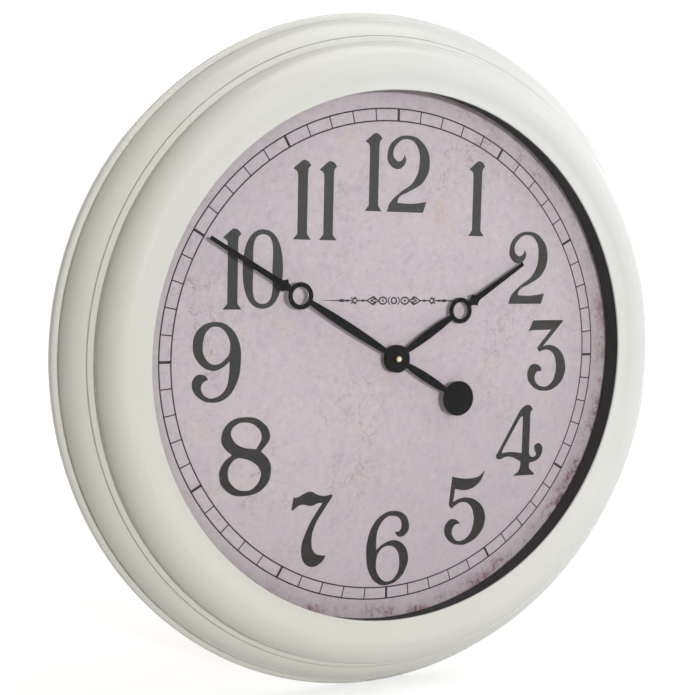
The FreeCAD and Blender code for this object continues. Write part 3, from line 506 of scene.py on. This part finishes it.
# %% Metals
TURNED = (400, 4000, 400)
METALS = {  # name, bright tone, dull tone, roughness, stretch of the grain and its depth
    "brass": ("turned_brass", tone(0.50, 0.40, 0.25), tone(0.27, 0.21, 0.13),
              0.34, TURNED, 0.01 * MM),
    "zinc_steel": ("zinc_steel", tone(0.62, 0.62, 0.63), tone(0.47, 0.47, 0.46),
                   0.30, (150, 900, 2400), 0.01 * MM),
    "magnet": ("sintered_magnet", tone(0.22, 0.22, 0.23), tone(0.15, 0.15, 0.16),
               0.45, (900, 900, 900), 0.02 * MM),
    "copper_wire": ("copper_wire", tone(0.75, 0.34, 0.17), tone(0.48, 0.19, 0.09),
                    0.28, (7000, 60, 60), 0.06 * MM),
    "cell_jacket": ("cell_jacket", tone(0.50, 0.51, 0.53), tone(0.42, 0.43, 0.45),
                    0.26, (60, 900, 900), 0.005 * MM),
}


def metal(name, bright, dull, roughness, stretch, grain_depth):
    finish = new_finish(name)
    tarnish = finish.noise(150.0, 4.0).ramp(0.45, 0.75)
    grain = finish.noise(1.0, 3.0, 0.6, finish.stretched(*stretch))
    return finish.principled(
        Base_Color=finish.blend(tarnish * 0.7, bright, dull),
        Metallic=1.0,
        Roughness=roughness + tarnish * 0.15 + grain * 0.10,
        Normal=finish.bump(grain, grain_depth),
    )


for slot, recipe in METALS.items():
    finishes[slot] = metal(*recipe)
print("made metals:", ", ".join(METALS))

# %% [markdown]
# ## Hardboard behind the dial
# From behind, the dial sheet is carried by a brown pressed board. Its fibres lie in all directions,
# so two stretched noises cross each other, and a third one makes the darker flecks.

# %% Hardboard
BOARD_DARK = tone(0.235, 0.125, 0.062)
BOARD_LIGHT = tone(0.345, 0.200, 0.105)
BOARD_FLECK = tone(0.13, 0.065, 0.032)
FIBRE_DEPTH = 0.08 * MM


def hardboard():
    finish = new_finish("hardboard")
    along = finish.noise(1.0, 4.0, 0.65, finish.stretched(200, 300, 900))
    across = finish.noise(1.0, 4.0, 0.65, finish.stretched(900, 300, 200))
    flecks = finish.noise(240.0, 3.0).ramp(0.58, 0.70)
    fibres = along * 0.5 + across * 0.5
    board = finish.blend(fibres.ramp(0.35, 0.65), BOARD_DARK, BOARD_LIGHT)
    return finish.principled(
        Base_Color=finish.blend(flecks * 0.5, board, BOARD_FLECK),
        Roughness=0.60 + fibres * 0.2,
        Normal=finish.bump(fibres, FIBRE_DEPTH),
        Specular_IOR_Level=0.3,
    )


finishes["fibre_board"] = hardboard()
print("made", finishes["fibre_board"].name)

# %% [markdown]
# ## Brass of the hand nut
# The nut on the hands and the arbor in it are the only brass that is seen from the front. Its
# middle carries a painted highlight and its rim a painted shade, so the colour follows the distance
# from the axis. The plain brass above would look flat at this size.

# %% Brass of the hand nut
NUT_BRIGHT_RADIUS = 1.2 * MM
NUT_DARK_RADIUS = 3.2 * MM
# Painted highlight in the middle of the nut, painted shade at its rim.
NUT_PAINTED_HIGHLIGHT = tone(0.82, 0.72, 0.52)
NUT_PAINTED_SHADE = tone(0.085, 0.065, 0.040)
TURNED_DEPTH = 0.01 * MM


def nut_brass():
    finish = new_finish("nut_brass")
    # From painted highlight to painted shade, outwards from the axis.
    highlight_to_shade = finish.radius().ramp(NUT_BRIGHT_RADIUS, NUT_DARK_RADIUS)
    turned = finish.noise(1.0, 3.0, 0.6, finish.stretched(*TURNED))
    return finish.principled(
        Base_Color=finish.blend(highlight_to_shade, NUT_PAINTED_HIGHLIGHT, NUT_PAINTED_SHADE),
        Metallic=1.0,
        Roughness=0.22 + highlight_to_shade * 0.25 + turned * 0.05,
        Normal=finish.bump(turned, TURNED_DEPTH),
    )


own_finish = dict.fromkeys(("hand_nut", "minute_arbor"), nut_brass())
print("made the finish of", " and ".join(own_finish))

# %% [markdown]
# ## Dress the parts
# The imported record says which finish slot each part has, so one loop dresses them all. The nut and
# the arbor take the finish of their own instead.

# %% Dress the parts
for part in frame["record"]["subparts"]:
    mesh = frame["nodes"][part["node"]].data
    mesh.materials.clear()
    mesh.materials.append(own_finish.get(part["node"], finishes[part["material_slot"]]))

# %% [markdown]
# ## Printing the dial
# The figures are ink on paper, so they are thin flat shapes that lie on the sheet. A font would
# bring its own letter shapes. Drawing each outline as a Bezier curve keeps the old railway look:
# ball ends, a flat-topped three, wedge feet. A point is smooth unless it is marked as a corner,
# and a second outline inside the first is left open, as in the four or the nine.
# Outlines are in millimetres about the middle of the figure, x to the right and z up.

# %% Outlines of the figures
C = "corner"
FIGURES = {
    "0": [
        [(18.4, 0), (0, 33.2), (-18.4, 0), (0, -33.2)],
        [(8.6, 0), (0, 29.1), (-8.6, 0), (0, -29.1)],
    ],
    "1": [
        [(-8.6, -33.1, C), (8.2, -33.1, C), (4.5, -28.2, C), (4.5, 22, C), (5.2, 27),
         (7.4, 29.3, C), (4.6, 32.5), (0.4, 33.6), (-4.2, 30.4), (-9.3, 26.1, C), (-5.6, 23.6),
         (-4.7, 19, C), (-4.6, -28.2, C)],
    ],
    "2": [
        [(-5.1, 17.1, C), (-3.2, 12), (-6.6, 5.9), (-12, 3.9), (-20.5, 9.1), (-21.9, 16),
         (-16.6, 27.7), (0, 33.3), (14, 27), (20.7, 12), (15.6, -5.1), (0.6, -15.1),
         (-9.4, -20.5), (-11, -25.1, C), (2.7, -25.5), (18.4, -23.4, C), (15.2, -33, C),
         (-21.2, -33.1, C), (-18.7, -25.9), (-9.4, -16.9), (4.9, -5.9), (10.4, 10.6), (5.9, 26.6),
         (-2.3, 30.1), (-10.9, 27), (-16.2, 16.6), (-12.6, 11.3), (-9.8, 10.7), (-5.9, 13.8)],
    ],
    "3": [
        [(-17.3, 32.7, C), (16.6, 32.9, C), (16.2, 31.2, C), (-5.1, 8.4, C), (2.7, 9.5),
         (14.1, 4.5), (20.8, -7.3), (20.2, -19.4), (12, -29.8), (-1.6, -33.7), (-15.1, -29.4),
         (-21.7, -18.7), (-18.7, -9.8), (-14.4, -8), (-6.9, -11.2), (-5.5, -14.5, C),
         (-11.9, -16.6), (-12.3, -24.1), (-5.1, -29.4), (4.1, -27.6), (9.5, -18.7), (9.9, -6.6),
         (5.6, 2.4), (-2.3, 5.1), (-9.1, 3.1, C), (-12, 6.8, C), (3.4, 23.8, C), (-18.7, 23.4, C),
         (-22.1, 22.1, C), (-19.2, 28.5)],
    ],
    "4": [
        [(0.1, 29.9), (3.3, 32.4), (7.2, 33.6), (11, 32.3), (13.3, 28.6, C), (11.1, 27.4),
         (10.6, 24, C), (10.6, -12.5, C), (12, -14.8), (15.4, -15.9), (18.5, -13.8),
         (16.9, -10.1), (16.2, -6.2), (20.1, -3.1), (24.6, -5.5), (25.6, -10), (22, -17.6),
         (11.1, -21.6, C), (11.4, -26), (17.2, -31.9, C), (17.2, -33, C), (-6, -33, C),
         (-6, -32.1, C), (-0.6, -28.4), (1.3, -19.8, C), (-7.4, -15.5), (-13.9, -14.3),
         (-23.9, -16.2), (-26.4, -13.7), (-24.6, -10.1, C), (-3, 26, C)],
        [(-19.9, -10.9, C), (-13, -10), (-6, -10.4), (2.2, -11.6, C), (2.2, 22.7, C),
         (0.6, 23, C), (-1.4, 20.9, C), (-19, -7.5, C)],
    ],
    "5": [
        [(-15.1, 30.4, C), (-6, 28.2), (6, 27.6), (14.1, 29.3), (19, 33.6, C), (20, 33.1, C),
         (14.9, 23.8), (7, 18.4), (-2, 16.9), (-11.6, 18.6, C), (-13.4, 6.6, C), (-7, 9.3),
         (0.6, 9.9), (12.7, 5.9), (20.9, -4.4), (21.3, -15.9), (14.9, -26.6), (2.7, -33.4),
         (-3.7, -34.2), (-16.2, -29.8), (-22.1, -19.4), (-18.4, -10.9), (-14.1, -9.2),
         (-6.9, -11.9), (-5.5, -14.4, C), (-9.4, -14.4), (-13.7, -19.8), (-10.1, -28.7),
         (-5.9, -30.3), (2.7, -27.3), (8.6, -17.3), (8.8, -5.9), (4.1, 3.1), (-3.7, 5.9),
         (-11.9, 2.7), (-14.8, 0.4, C), (-18.1, 3.8, C)],
    ],
    "6": [
        [(7.4, 14.5, C), (9.2, 11.2), (13.5, 9.5), (20.3, 13.4), (21.8, 20), (16.7, 29.9),
         (5, 33.7), (-5.4, 31.3), (-15.1, 22.4), (-20.4, 9.1), (-21.4, -3), (-18.3, -20.1),
         (-9.7, -31.2), (0, -33.7), (13.1, -28.7), (20.3, -18), (21.7, -9.5), (17.4, 1.3),
         (8.9, 6.6), (3.9, 7), (-5.4, 3.8), (-11.2, -0.5, C), (-11.4, 9), (-9, 19.9),
         (-1.5, 28.3), (3.1, 29.3), (11.4, 26.6), (13.9, 19.1), (12.3, 15.3), (10.6, 14.5)],
        [(1, 2.2), (8.5, -1), (12.6, -13.7), (9.2, -25.9), (1, -30.4), (-7.6, -25.1),
         (-11.1, -11), (-6.1, -0.1)],
    ],
    "7": [
        [(-19.6, 29.5, C), (-17.1, 28.8), (-10.3, 31.6), (-4, 33.5), (3.6, 30.2), (9.5, 28.7),
         (16.9, 29.6, C), (18.1, 29, C), (17.2, 26.8, C), (9.7, 16.3), (1.9, 4.1), (-1.6, -11),
         (1.5, -20.9), (7.6, -23.7), (12.8, -24.4, C), (8.3, -30.1), (-0.3, -33.5), (-8.1, -29.4),
         (-11.5, -18), (-6.7, -0.9), (2.6, 14.9), (8.3, 22.6, C), (4.7, 22.7), (-2.4, 20.6),
         (-12.5, 22.2), (-19.9, 17.9, C), (-21.6, 18.3, C)],
    ],
    "8": [
        [(0, 33.6), (14, 29.6), (22.4, 16.3), (14.3, 3.8, C), (21.8, -4.4), (23.8, -13),
         (18.6, -26.6), (0, -33.7), (-17, -28.6), (-23.8, -15.1), (-20, -4.4), (-12.5, 1.9, C),
         (-20, 8.8), (-22.2, 16.5), (-15.5, 29.4)],
        [(0, 29), (9.6, 25.2), (14.5, 16.3), (9.6, 5.8, C), (-5, 9.1), (-12.1, 15.9), (-13.2, 22),
         (-8, 27.6)],
        [(-6.1, -0.7, C), (5, -4.1), (13.2, -11.6), (14.2, -17.5), (7.1, -27.6), (0, -29.2),
         (-10, -25.5), (-15.8, -14), (-11.4, -3.4)],
    ],
    "9": [
        [(-0.1, 32.7), (11.3, 28.4), (19.5, 16.6), (21.6, 0), (17.4, -20.1), (8.4, -31.2),
         (-3.4, -34.3), (-15.1, -30.5), (-21.9, -20.1), (-18.7, -11.9), (-14.8, -10.5),
         (-9, -12.7), (-7.4, -15.1, C), (-12, -17.6), (-13.6, -22.5), (-9.4, -29.1),
         (-2.5, -30.5), (7.7, -23.7), (10.9, -11.6), (11.4, -0.5, C), (3.4, -6.2), (-4, -7.8),
         (-16.2, -0.9), (-21.4, 13.5), (-15.5, 27.7)],
        [(-0.5, 28.8), (7.4, 24.1), (11.6, 9.1), (7.7, 2), (-2, -2.7), (-10.1, 2.7), (-12.4, 14),
         (-7.6, 26.6)],
    ],
}
print("outlines of", len(FIGURES), "figures")

# %% [markdown]
# ## From outline to printed ink
# A flat curve fills itself between its outlines. It becomes a mesh while it still lies flat, and
# the mesh is then turned upright and set on the paper, so the finished object stays at the origin.

# %% From outline to printed ink
INK_HALF_THICKNESS = 0.02
CURVE_STEPS = 8
dial_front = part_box("dial_print")[0][1]
stand_up = Matrix.Rotation(math.radians(90), 4, "X")
ink_place = Matrix.Translation((0, dial_front, 0)) @ stand_up @ Matrix.Scale(MM, 4)


def new_curve(name, dimensions="2D"):
    """An empty curve, flat unless 3D is asked for."""
    curve = bpy.data.curves.new(name, "CURVE")
    curve.dimensions = dimensions
    curve.resolution_u = CURVE_STEPS
    return curve


def filled_curve(name):
    """An empty flat curve that fills its outlines with a thin layer of ink."""
    curve = new_curve(name)
    curve.fill_mode = "BOTH"
    curve.extrude = INK_HALF_THICKNESS
    return curve


def add_outline(curve, corners, offset=(0, 0)):
    """One closed outline of a flat curve."""
    spline = curve.splines.new("BEZIER")
    spline.bezier_points.add(len(corners) - 1)
    spline.use_cyclic_u = True
    for point, corner in zip(spline.bezier_points, corners):
        kind = "VECTOR" if C in corner else "AUTO"
        point.handle_left_type = kind
        point.handle_right_type = kind
        point.co = (corner[0] + offset[0], corner[1] + offset[1], 0)


def finish_piece(name, mesh, material):
    """Give a mesh its finish and put it on the clock's case."""
    mesh.materials.clear()
    mesh.materials.append(material)
    piece = bpy.data.objects.new(name, mesh)
    bpy.context.scene.collection.objects.link(piece)
    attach(piece, "case")
    return piece


def curve_to_piece(name, curve, place, ink):
    """Turn a curve into a mesh object that lies on the dial and moves with the case."""
    drawn = bpy.data.objects.new(name + "_curve", curve)
    bpy.context.scene.collection.objects.link(drawn)
    bpy.context.view_layer.update()
    evaluated = drawn.evaluated_get(bpy.context.evaluated_depsgraph_get())
    mesh = bpy.data.meshes.new_from_object(evaluated)
    bpy.data.objects.remove(drawn)
    mesh.transform(place)
    return finish_piece(name, mesh, ink)


def print_figures(name, figures):
    """Print figures, each at its own place on the dial."""
    curve = filled_curve(name)
    for figure, place in figures:
        for outline in FIGURES[figure]:
            add_outline(curve, outline, place)
    return curve_to_piece(name, curve, ink_place, figure_ink)


print("front of the dial at y =", round(dial_front, 4))

# %% [markdown]
# ## Numerals
# Twelve numerals stand upright round the dial. Their middles lie near a circle, but a printer sets
# each by eye, so every place is its own: the two-figure hours sit closer to the middle.

# %% Numerals
NUMERAL_PLACES = {
    12: [("1", (-22.7, 161)), ("2", (11.8, 161))],
    1: [("1", (83, 142))],
    2: [("2", (141.5, 81))],
    3: [("3", (166, 0))],
    4: [("4", (139, -80))],
    5: [("5", (81, -140))],
    6: [("6", (0, -171))],
    7: [("7", (-74, -148))],
    8: [("8", (-139, -81))],
    9: [("9", (-166, 0))],
    10: [("1", (-152.9, 76)), ("0", (-125.8, 76.6))],
    11: [("1", (-90.3, 135)), ("1", (-65.9, 135))],
}
for hour, figures in NUMERAL_PLACES.items():
    numeral = print_figures(f"numeral_{hour}", figures)
    print(numeral.name, len(numeral.data.polygons), "faces")

# %% [markdown]
# ## Minute track
# Two thin circles with a tick for each minute, and a bold tick every five. A ring is two circles
# bridged into a band, and a tick is a flat square, stretched and turned to its minute. All of it is
# one mesh, which then gets the thickness of the ink.

# %% Minute track
TRACK_CIRCLES = ((216.5, 1.25), (206.1, 1.25))  # radius and width, the outer one first
TRACK_SEGMENTS = 240
TICK_WIDTH = 1.05
BOLD_TICK_WIDTH = 2.3
MINUTES = 60
BOLD_EVERY = 5


def add_band(bm, radius, width):
    """A flat ring in the dial's plane, in millimetres."""
    loops = []
    for edge_radius in (radius - width / 2, radius + width / 2):
        circle = bmesh.ops.create_circle(bm, segments=TRACK_SEGMENTS, radius=edge_radius)
        loops.append(list({edge for vert in circle["verts"] for edge in vert.link_edges}))
    bmesh.ops.bridge_loops(bm, edges=loops[0] + loops[1])


def add_ticks(bm, inner, outer):
    """A tick for each minute, from the inner circle to the outer one."""
    middle = Matrix.Translation((0, (outer + inner) / 2, 0))
    for minute in range(MINUTES):
        width = TICK_WIDTH if minute % BOLD_EVERY else BOLD_TICK_WIDTH
        turn = Matrix.Rotation(math.radians(360 / MINUTES * minute), 4, "Z")
        place = turn @ middle @ Matrix.Diagonal((width, outer - inner, 1, 1))
        bmesh.ops.create_grid(bm, x_segments=1, y_segments=1, size=0.5, matrix=place)


def minute_track():
    bm = bmesh.new()
    for radius, width in TRACK_CIRCLES:
        add_band(bm, radius, width)
    add_ticks(bm, inner=TRACK_CIRCLES[1][0], outer=TRACK_CIRCLES[0][0])
    bmesh.ops.solidify(bm, geom=bm.faces[:], thickness=2 * INK_HALF_THICKNESS)
    bmesh.ops.recalc_face_normals(bm, faces=bm.faces[:])
    lowest = min(vert.co.z for vert in bm.verts)
    bmesh.ops.translate(bm, vec=(0, 0, -INK_HALF_THICKNESS - lowest), verts=bm.verts[:])
    bmesh.ops.transform(bm, matrix=ink_place, verts=bm.verts[:])
    mesh = bpy.data.meshes.new("minute_track")
    bm.to_mesh(mesh)
    bm.free()
    return finish_piece("minute_track", mesh, track_ink)


track = minute_track()
print(track.name, len(track.data.polygons), "faces")

# %% [markdown]
# ## A printed rule
# Old printers filled the middle of a dial with a rule from their type case: here a tapering line
# with beads and lozenges, and three small rings in its middle. It is drawn like pen strokes. A curve
# with a round bevel makes a tube, each point's radius sets the width of the stroke, and the tube is
# then pressed flat on the paper. One quarter of the curls is drawn, and the rest are its mirror
# images.

# %% Strokes of the rule
RULE_HEIGHT = 50.6
RULE_CURLS = {  # along the rule, above it, and half the stroke's width
    "middle ring": [(2.7, 0, 0.65), (1.91, 1.91, 0.65), (0, 2.7, 0.65)],
    "bracket": [(3.4, 3.5, 0.35), (5.0, 2.0, 0.50), (5.6, 0, 0.55)],
    "side ring": [(15.0, 0, 0.65), (13.8, 2.0, 0.65), (11.0, 2.9, 0.70), (8.2, 2.0, 0.65),
                  (7.0, 0, 0.65)],
    "lozenge near side": [(15.4, 0.4, 0.50), (17.6, 1.3, 0.52), (20.2, 3.3, 0.95)],
    "lozenge far side": [(20.2, 3.3, 0.95), (22.8, 2.2, 0.62), (27.0, 0, 0.50)],
    "leaf": [(17.6, 0.5, 0.40), (19.8, 1.4, 0.65), (21.4, 0.3, 0.45)],
    "small lozenge": [(36.0, 0, 0.55), (38.8, 3.0, 0.70)],
    "crossed tail": [(38.8, 3.0, 0.70), (39.8, 1.3, 0.72), (42.6, 2.9, 0.40)],
}
RULE_LINES = [
    [(26.5, 0, 0.55), (36.1, 0, 0.50)],
    [(40.0, 0, 0.55), (50.0, 0, 0.68), (58.0, 0, 0.52), (70.0, 0, 0.12)],
]
RULE_BEADS = [  # along the rule, half the width and half the height
    (11.0, 1.1, 1.0), (22.4, 1.1, 0.9), (30.9, 1.3, 1.2), (46.0, 1.3, 1.2), (51.5, 2.6, 1.3),
]
PRESS_FLAT = Matrix.Diagonal((1, 1, 0.05, 1))
print("rule of", len(RULE_CURLS), "curls,", len(RULE_LINES), "lines and", len(RULE_BEADS), "beads")


# %% Printed rule
def add_stroke(curve, stroke, side, flip):
    """One open stroke of points with their half widths, mirrored by the signs of side and flip."""
    spline = curve.splines.new("BEZIER")
    spline.bezier_points.add(len(stroke) - 1)
    for point, (x, z, half_width) in zip(spline.bezier_points, stroke):
        point.handle_left_type = "AUTO"
        point.handle_right_type = "AUTO"
        point.co = (side * x, flip * z + RULE_HEIGHT, 0)
        point.radius = half_width


def add_bead(curve, bead, side):
    """One filled oval: its place along the rule and its half width and height."""
    x, wide, high = bead
    add_outline(curve, [(wide, 0), (0, high), (-wide, 0), (0, -high)], (side * x, RULE_HEIGHT))


pen = new_curve("dial_rule_strokes", "3D")
pen.bevel_depth = 1.0  # a point's radius is then its half width
pen.bevel_resolution = 1
pen.use_fill_caps = True
beads = filled_curve("dial_rule_beads")
for side in (1, -1):
    for stroke in RULE_CURLS.values():
        add_stroke(pen, stroke, side, 1)
        add_stroke(pen, stroke, side, -1)
    for stroke in RULE_LINES:
        add_stroke(pen, stroke, side, 1)
    for bead in RULE_BEADS:
        add_bead(beads, bead, side)
rule = curve_to_piece("dial_rule_strokes", pen, ink_place @ PRESS_FLAT, track_ink)
rule_beads = curve_to_piece("dial_rule_beads", beads, ink_place, track_ink)
for piece in (rule, rule_beads):
    print(piece.name, len(piece.data.polygons), "faces")

# %% [markdown]
# ## Camera
# The camera stands a little left of the clock and above its middle. It is turned slightly, and its
# lens is shifted so that the clock sits in the picture as it does in the reference.

# %% Camera
CAMERA_AZIMUTH = math.radians(-25.75)
CAMERA_ELEVATION = math.radians(5.68)
CAMERA_ROLL = math.radians(1.17)
CAMERA_PLACE = Vector((-0.558, -0.994, 0.092))
SENSOR_WIDTH = 36.0
FOCAL_LENGTH = 67.03
LENS_SHIFT = (0.0508, 0.0473)

back = Vector((math.sin(CAMERA_AZIMUTH) * math.cos(CAMERA_ELEVATION),
               -math.cos(CAMERA_AZIMUTH) * math.cos(CAMERA_ELEVATION),
               math.sin(CAMERA_ELEVATION)))
level = Vector((0, 0, 1)).cross(back).normalized()
upright = back.cross(level)
right = level * math.cos(CAMERA_ROLL) + upright * math.sin(CAMERA_ROLL)
up = upright * math.cos(CAMERA_ROLL) - level * math.sin(CAMERA_ROLL)
lens = bpy.data.cameras.new("camera")
lens.sensor_width = SENSOR_WIDTH
lens.lens = FOCAL_LENGTH
lens.shift_x, lens.shift_y = LENS_SHIFT
camera = bpy.data.objects.new("camera", lens)
turn = Matrix((right, up, back)).transposed()
camera.matrix_world = Matrix.Translation(CAMERA_PLACE) @ turn.to_4x4()
bpy.context.scene.collection.objects.link(camera)
bpy.context.scene.camera = camera
print("camera", round(CAMERA_PLACE.length, 3), "m from the middle of the clock")

# %% [markdown]
# ## Floor
# The floor is plain paper that takes the clock's soft shadow. It adds a little white of its own
# where it is seen, so that it reads as paper white, and none to the light that falls on the clock.
# Far from the clock, where less light reaches it, it adds more.

# %% Floor
FLOOR_GAP = 0.2 * MM
FLOOR_HALF_SIZE = 6.0
FLOOR_GREY = tone(0.64, 0.64, 0.64)
GLOW_NEAR = 0.61
GLOW_MORE_FAR = 0.26


def seen_directly(finish):
    """1 for rays from the camera, from mirrors and through glass, 0 for light on other things."""
    seen = finish.add("ShaderNodeLightPath", output="Is Camera Ray")
    for ray in ("Is Glossy Ray", "Is Transmission Ray"):
        seen = seen.math("MAXIMUM", finish.add("ShaderNodeLightPath", output=ray))
    return seen


def floor_paper():
    finish = new_finish("floor_paper")
    x, y, _ = finish.axes()
    glow_level = distance(x, y).ramp(0.4, 1.8) * GLOW_MORE_FAR + GLOW_NEAR
    strength = seen_directly(finish) * glow_level
    matt = finish.add("ShaderNodeBsdfDiffuse", None, {"Color": FLOOR_GREY})
    glow = finish.add("ShaderNodeEmission", None, {"Color": WHITE, "Strength": strength})
    finish.show(finish.add("ShaderNodeAddShader", None, {0: matt, 1: glow}))
    return finish.owner


floor_level = cad_box[0][2] - FLOOR_GAP
floor_place = Matrix.Translation((0, 0, floor_level))
bm = bmesh.new()
bmesh.ops.create_grid(bm, x_segments=2, y_segments=2, size=FLOOR_HALF_SIZE, matrix=floor_place)
floor_mesh = bpy.data.meshes.new("floor")
bm.to_mesh(floor_mesh)
bm.free()
floor_mesh.materials.append(floor_paper())
floor = bpy.data.objects.new("floor", floor_mesh)
bpy.context.scene.collection.objects.link(floor)
print("floor at", round(floor_level, 4))

# %% [markdown]
# ## Lamps
# A small key lamp in front draws the shadows of the hands, and a wide one beside it, like a window,
# gives the paint its sheen. Lamps above, on the right and close by shape the mouldings, and one
# behind lights the back. Two of the lamps are kept out of reflections, where their small bright
# squares would show in the glass.

# %% Lamps
def add_lamp(name, place, size, power, colour, mirrored=True):
    """A lamp of a width and height that looks at the middle of the clock, and shows in it or not."""
    data = bpy.data.lights.new(name, "AREA")
    data.shape = "RECTANGLE"
    data.size, data.size_y = size
    data.energy = power
    data.color = colour
    lamp = bpy.data.objects.new(name, data)
    lamp.location = place
    lamp.rotation_euler = (-Vector(place)).to_track_quat("-Z", "Y").to_euler()
    lamp.visible_glossy = mirrored
    bpy.context.scene.collection.objects.link(lamp)


add_lamp("key", (-0.05, -2.55, 0.22), (0.16, 0.16), 33.5, (0.99, 0.99, 1.0), mirrored=False)
add_lamp("window", (-0.02, -2.55, 0.35), (0.75, 1.20), 4.0, (1.0, 1.0, 1.0))
add_lamp("top", (0.30, -0.40, 2.30), (1.6, 1.6), 17.0, (1.0, 0.985, 0.96))
add_lamp("side", (2.40, 0.42, 0.30), (1.2, 1.2), 10.0, (0.92, 0.96, 1.0))
add_lamp("near", (0.75, -0.35, 0.40), (0.4, 0.4), 1.2, (0.88, 0.94, 1.0), mirrored=False)
add_lamp("rear", (0.60, 2.40, 1.30), (1.6, 1.2), 14.0, (1.0, 0.98, 0.95))
print("lamps:", [lamp.name for lamp in bpy.data.lights])

# %% [markdown]
# ## World
# The background is white because the world is white where it is seen, not because more light falls
# on the clock. As a light the world is only a soft fill for what the lamps leave, warmer from the
# left than from the right.

# %% World
WORLD_FILL = 0.325
FILL_FROM_LEFT = tone(1.0, 0.94, 0.81)
FILL_FROM_RIGHT = tone(0.97, 0.99, 1.0)


def studio_world():
    sky = Finish(bpy.data.worlds.new("studio"), "ShaderNodeOutputWorld", "Generated")
    seen = seen_directly(sky)
    fill = sky.blend(sky.axes()[0].ramp(-0.7, 0.5), FILL_FROM_LEFT, FILL_FROM_RIGHT)
    colour = sky.blend(seen, fill, WHITE)
    strength = seen * (1 - WORLD_FILL) + WORLD_FILL
    sky.show(sky.add("ShaderNodeBackground", None, {"Color": colour, "Strength": strength}))
    return sky.owner


bpy.context.scene.world = studio_world()
bpy.context.scene.view_settings.view_transform = "Standard"
print("world:", bpy.context.scene.world.name)
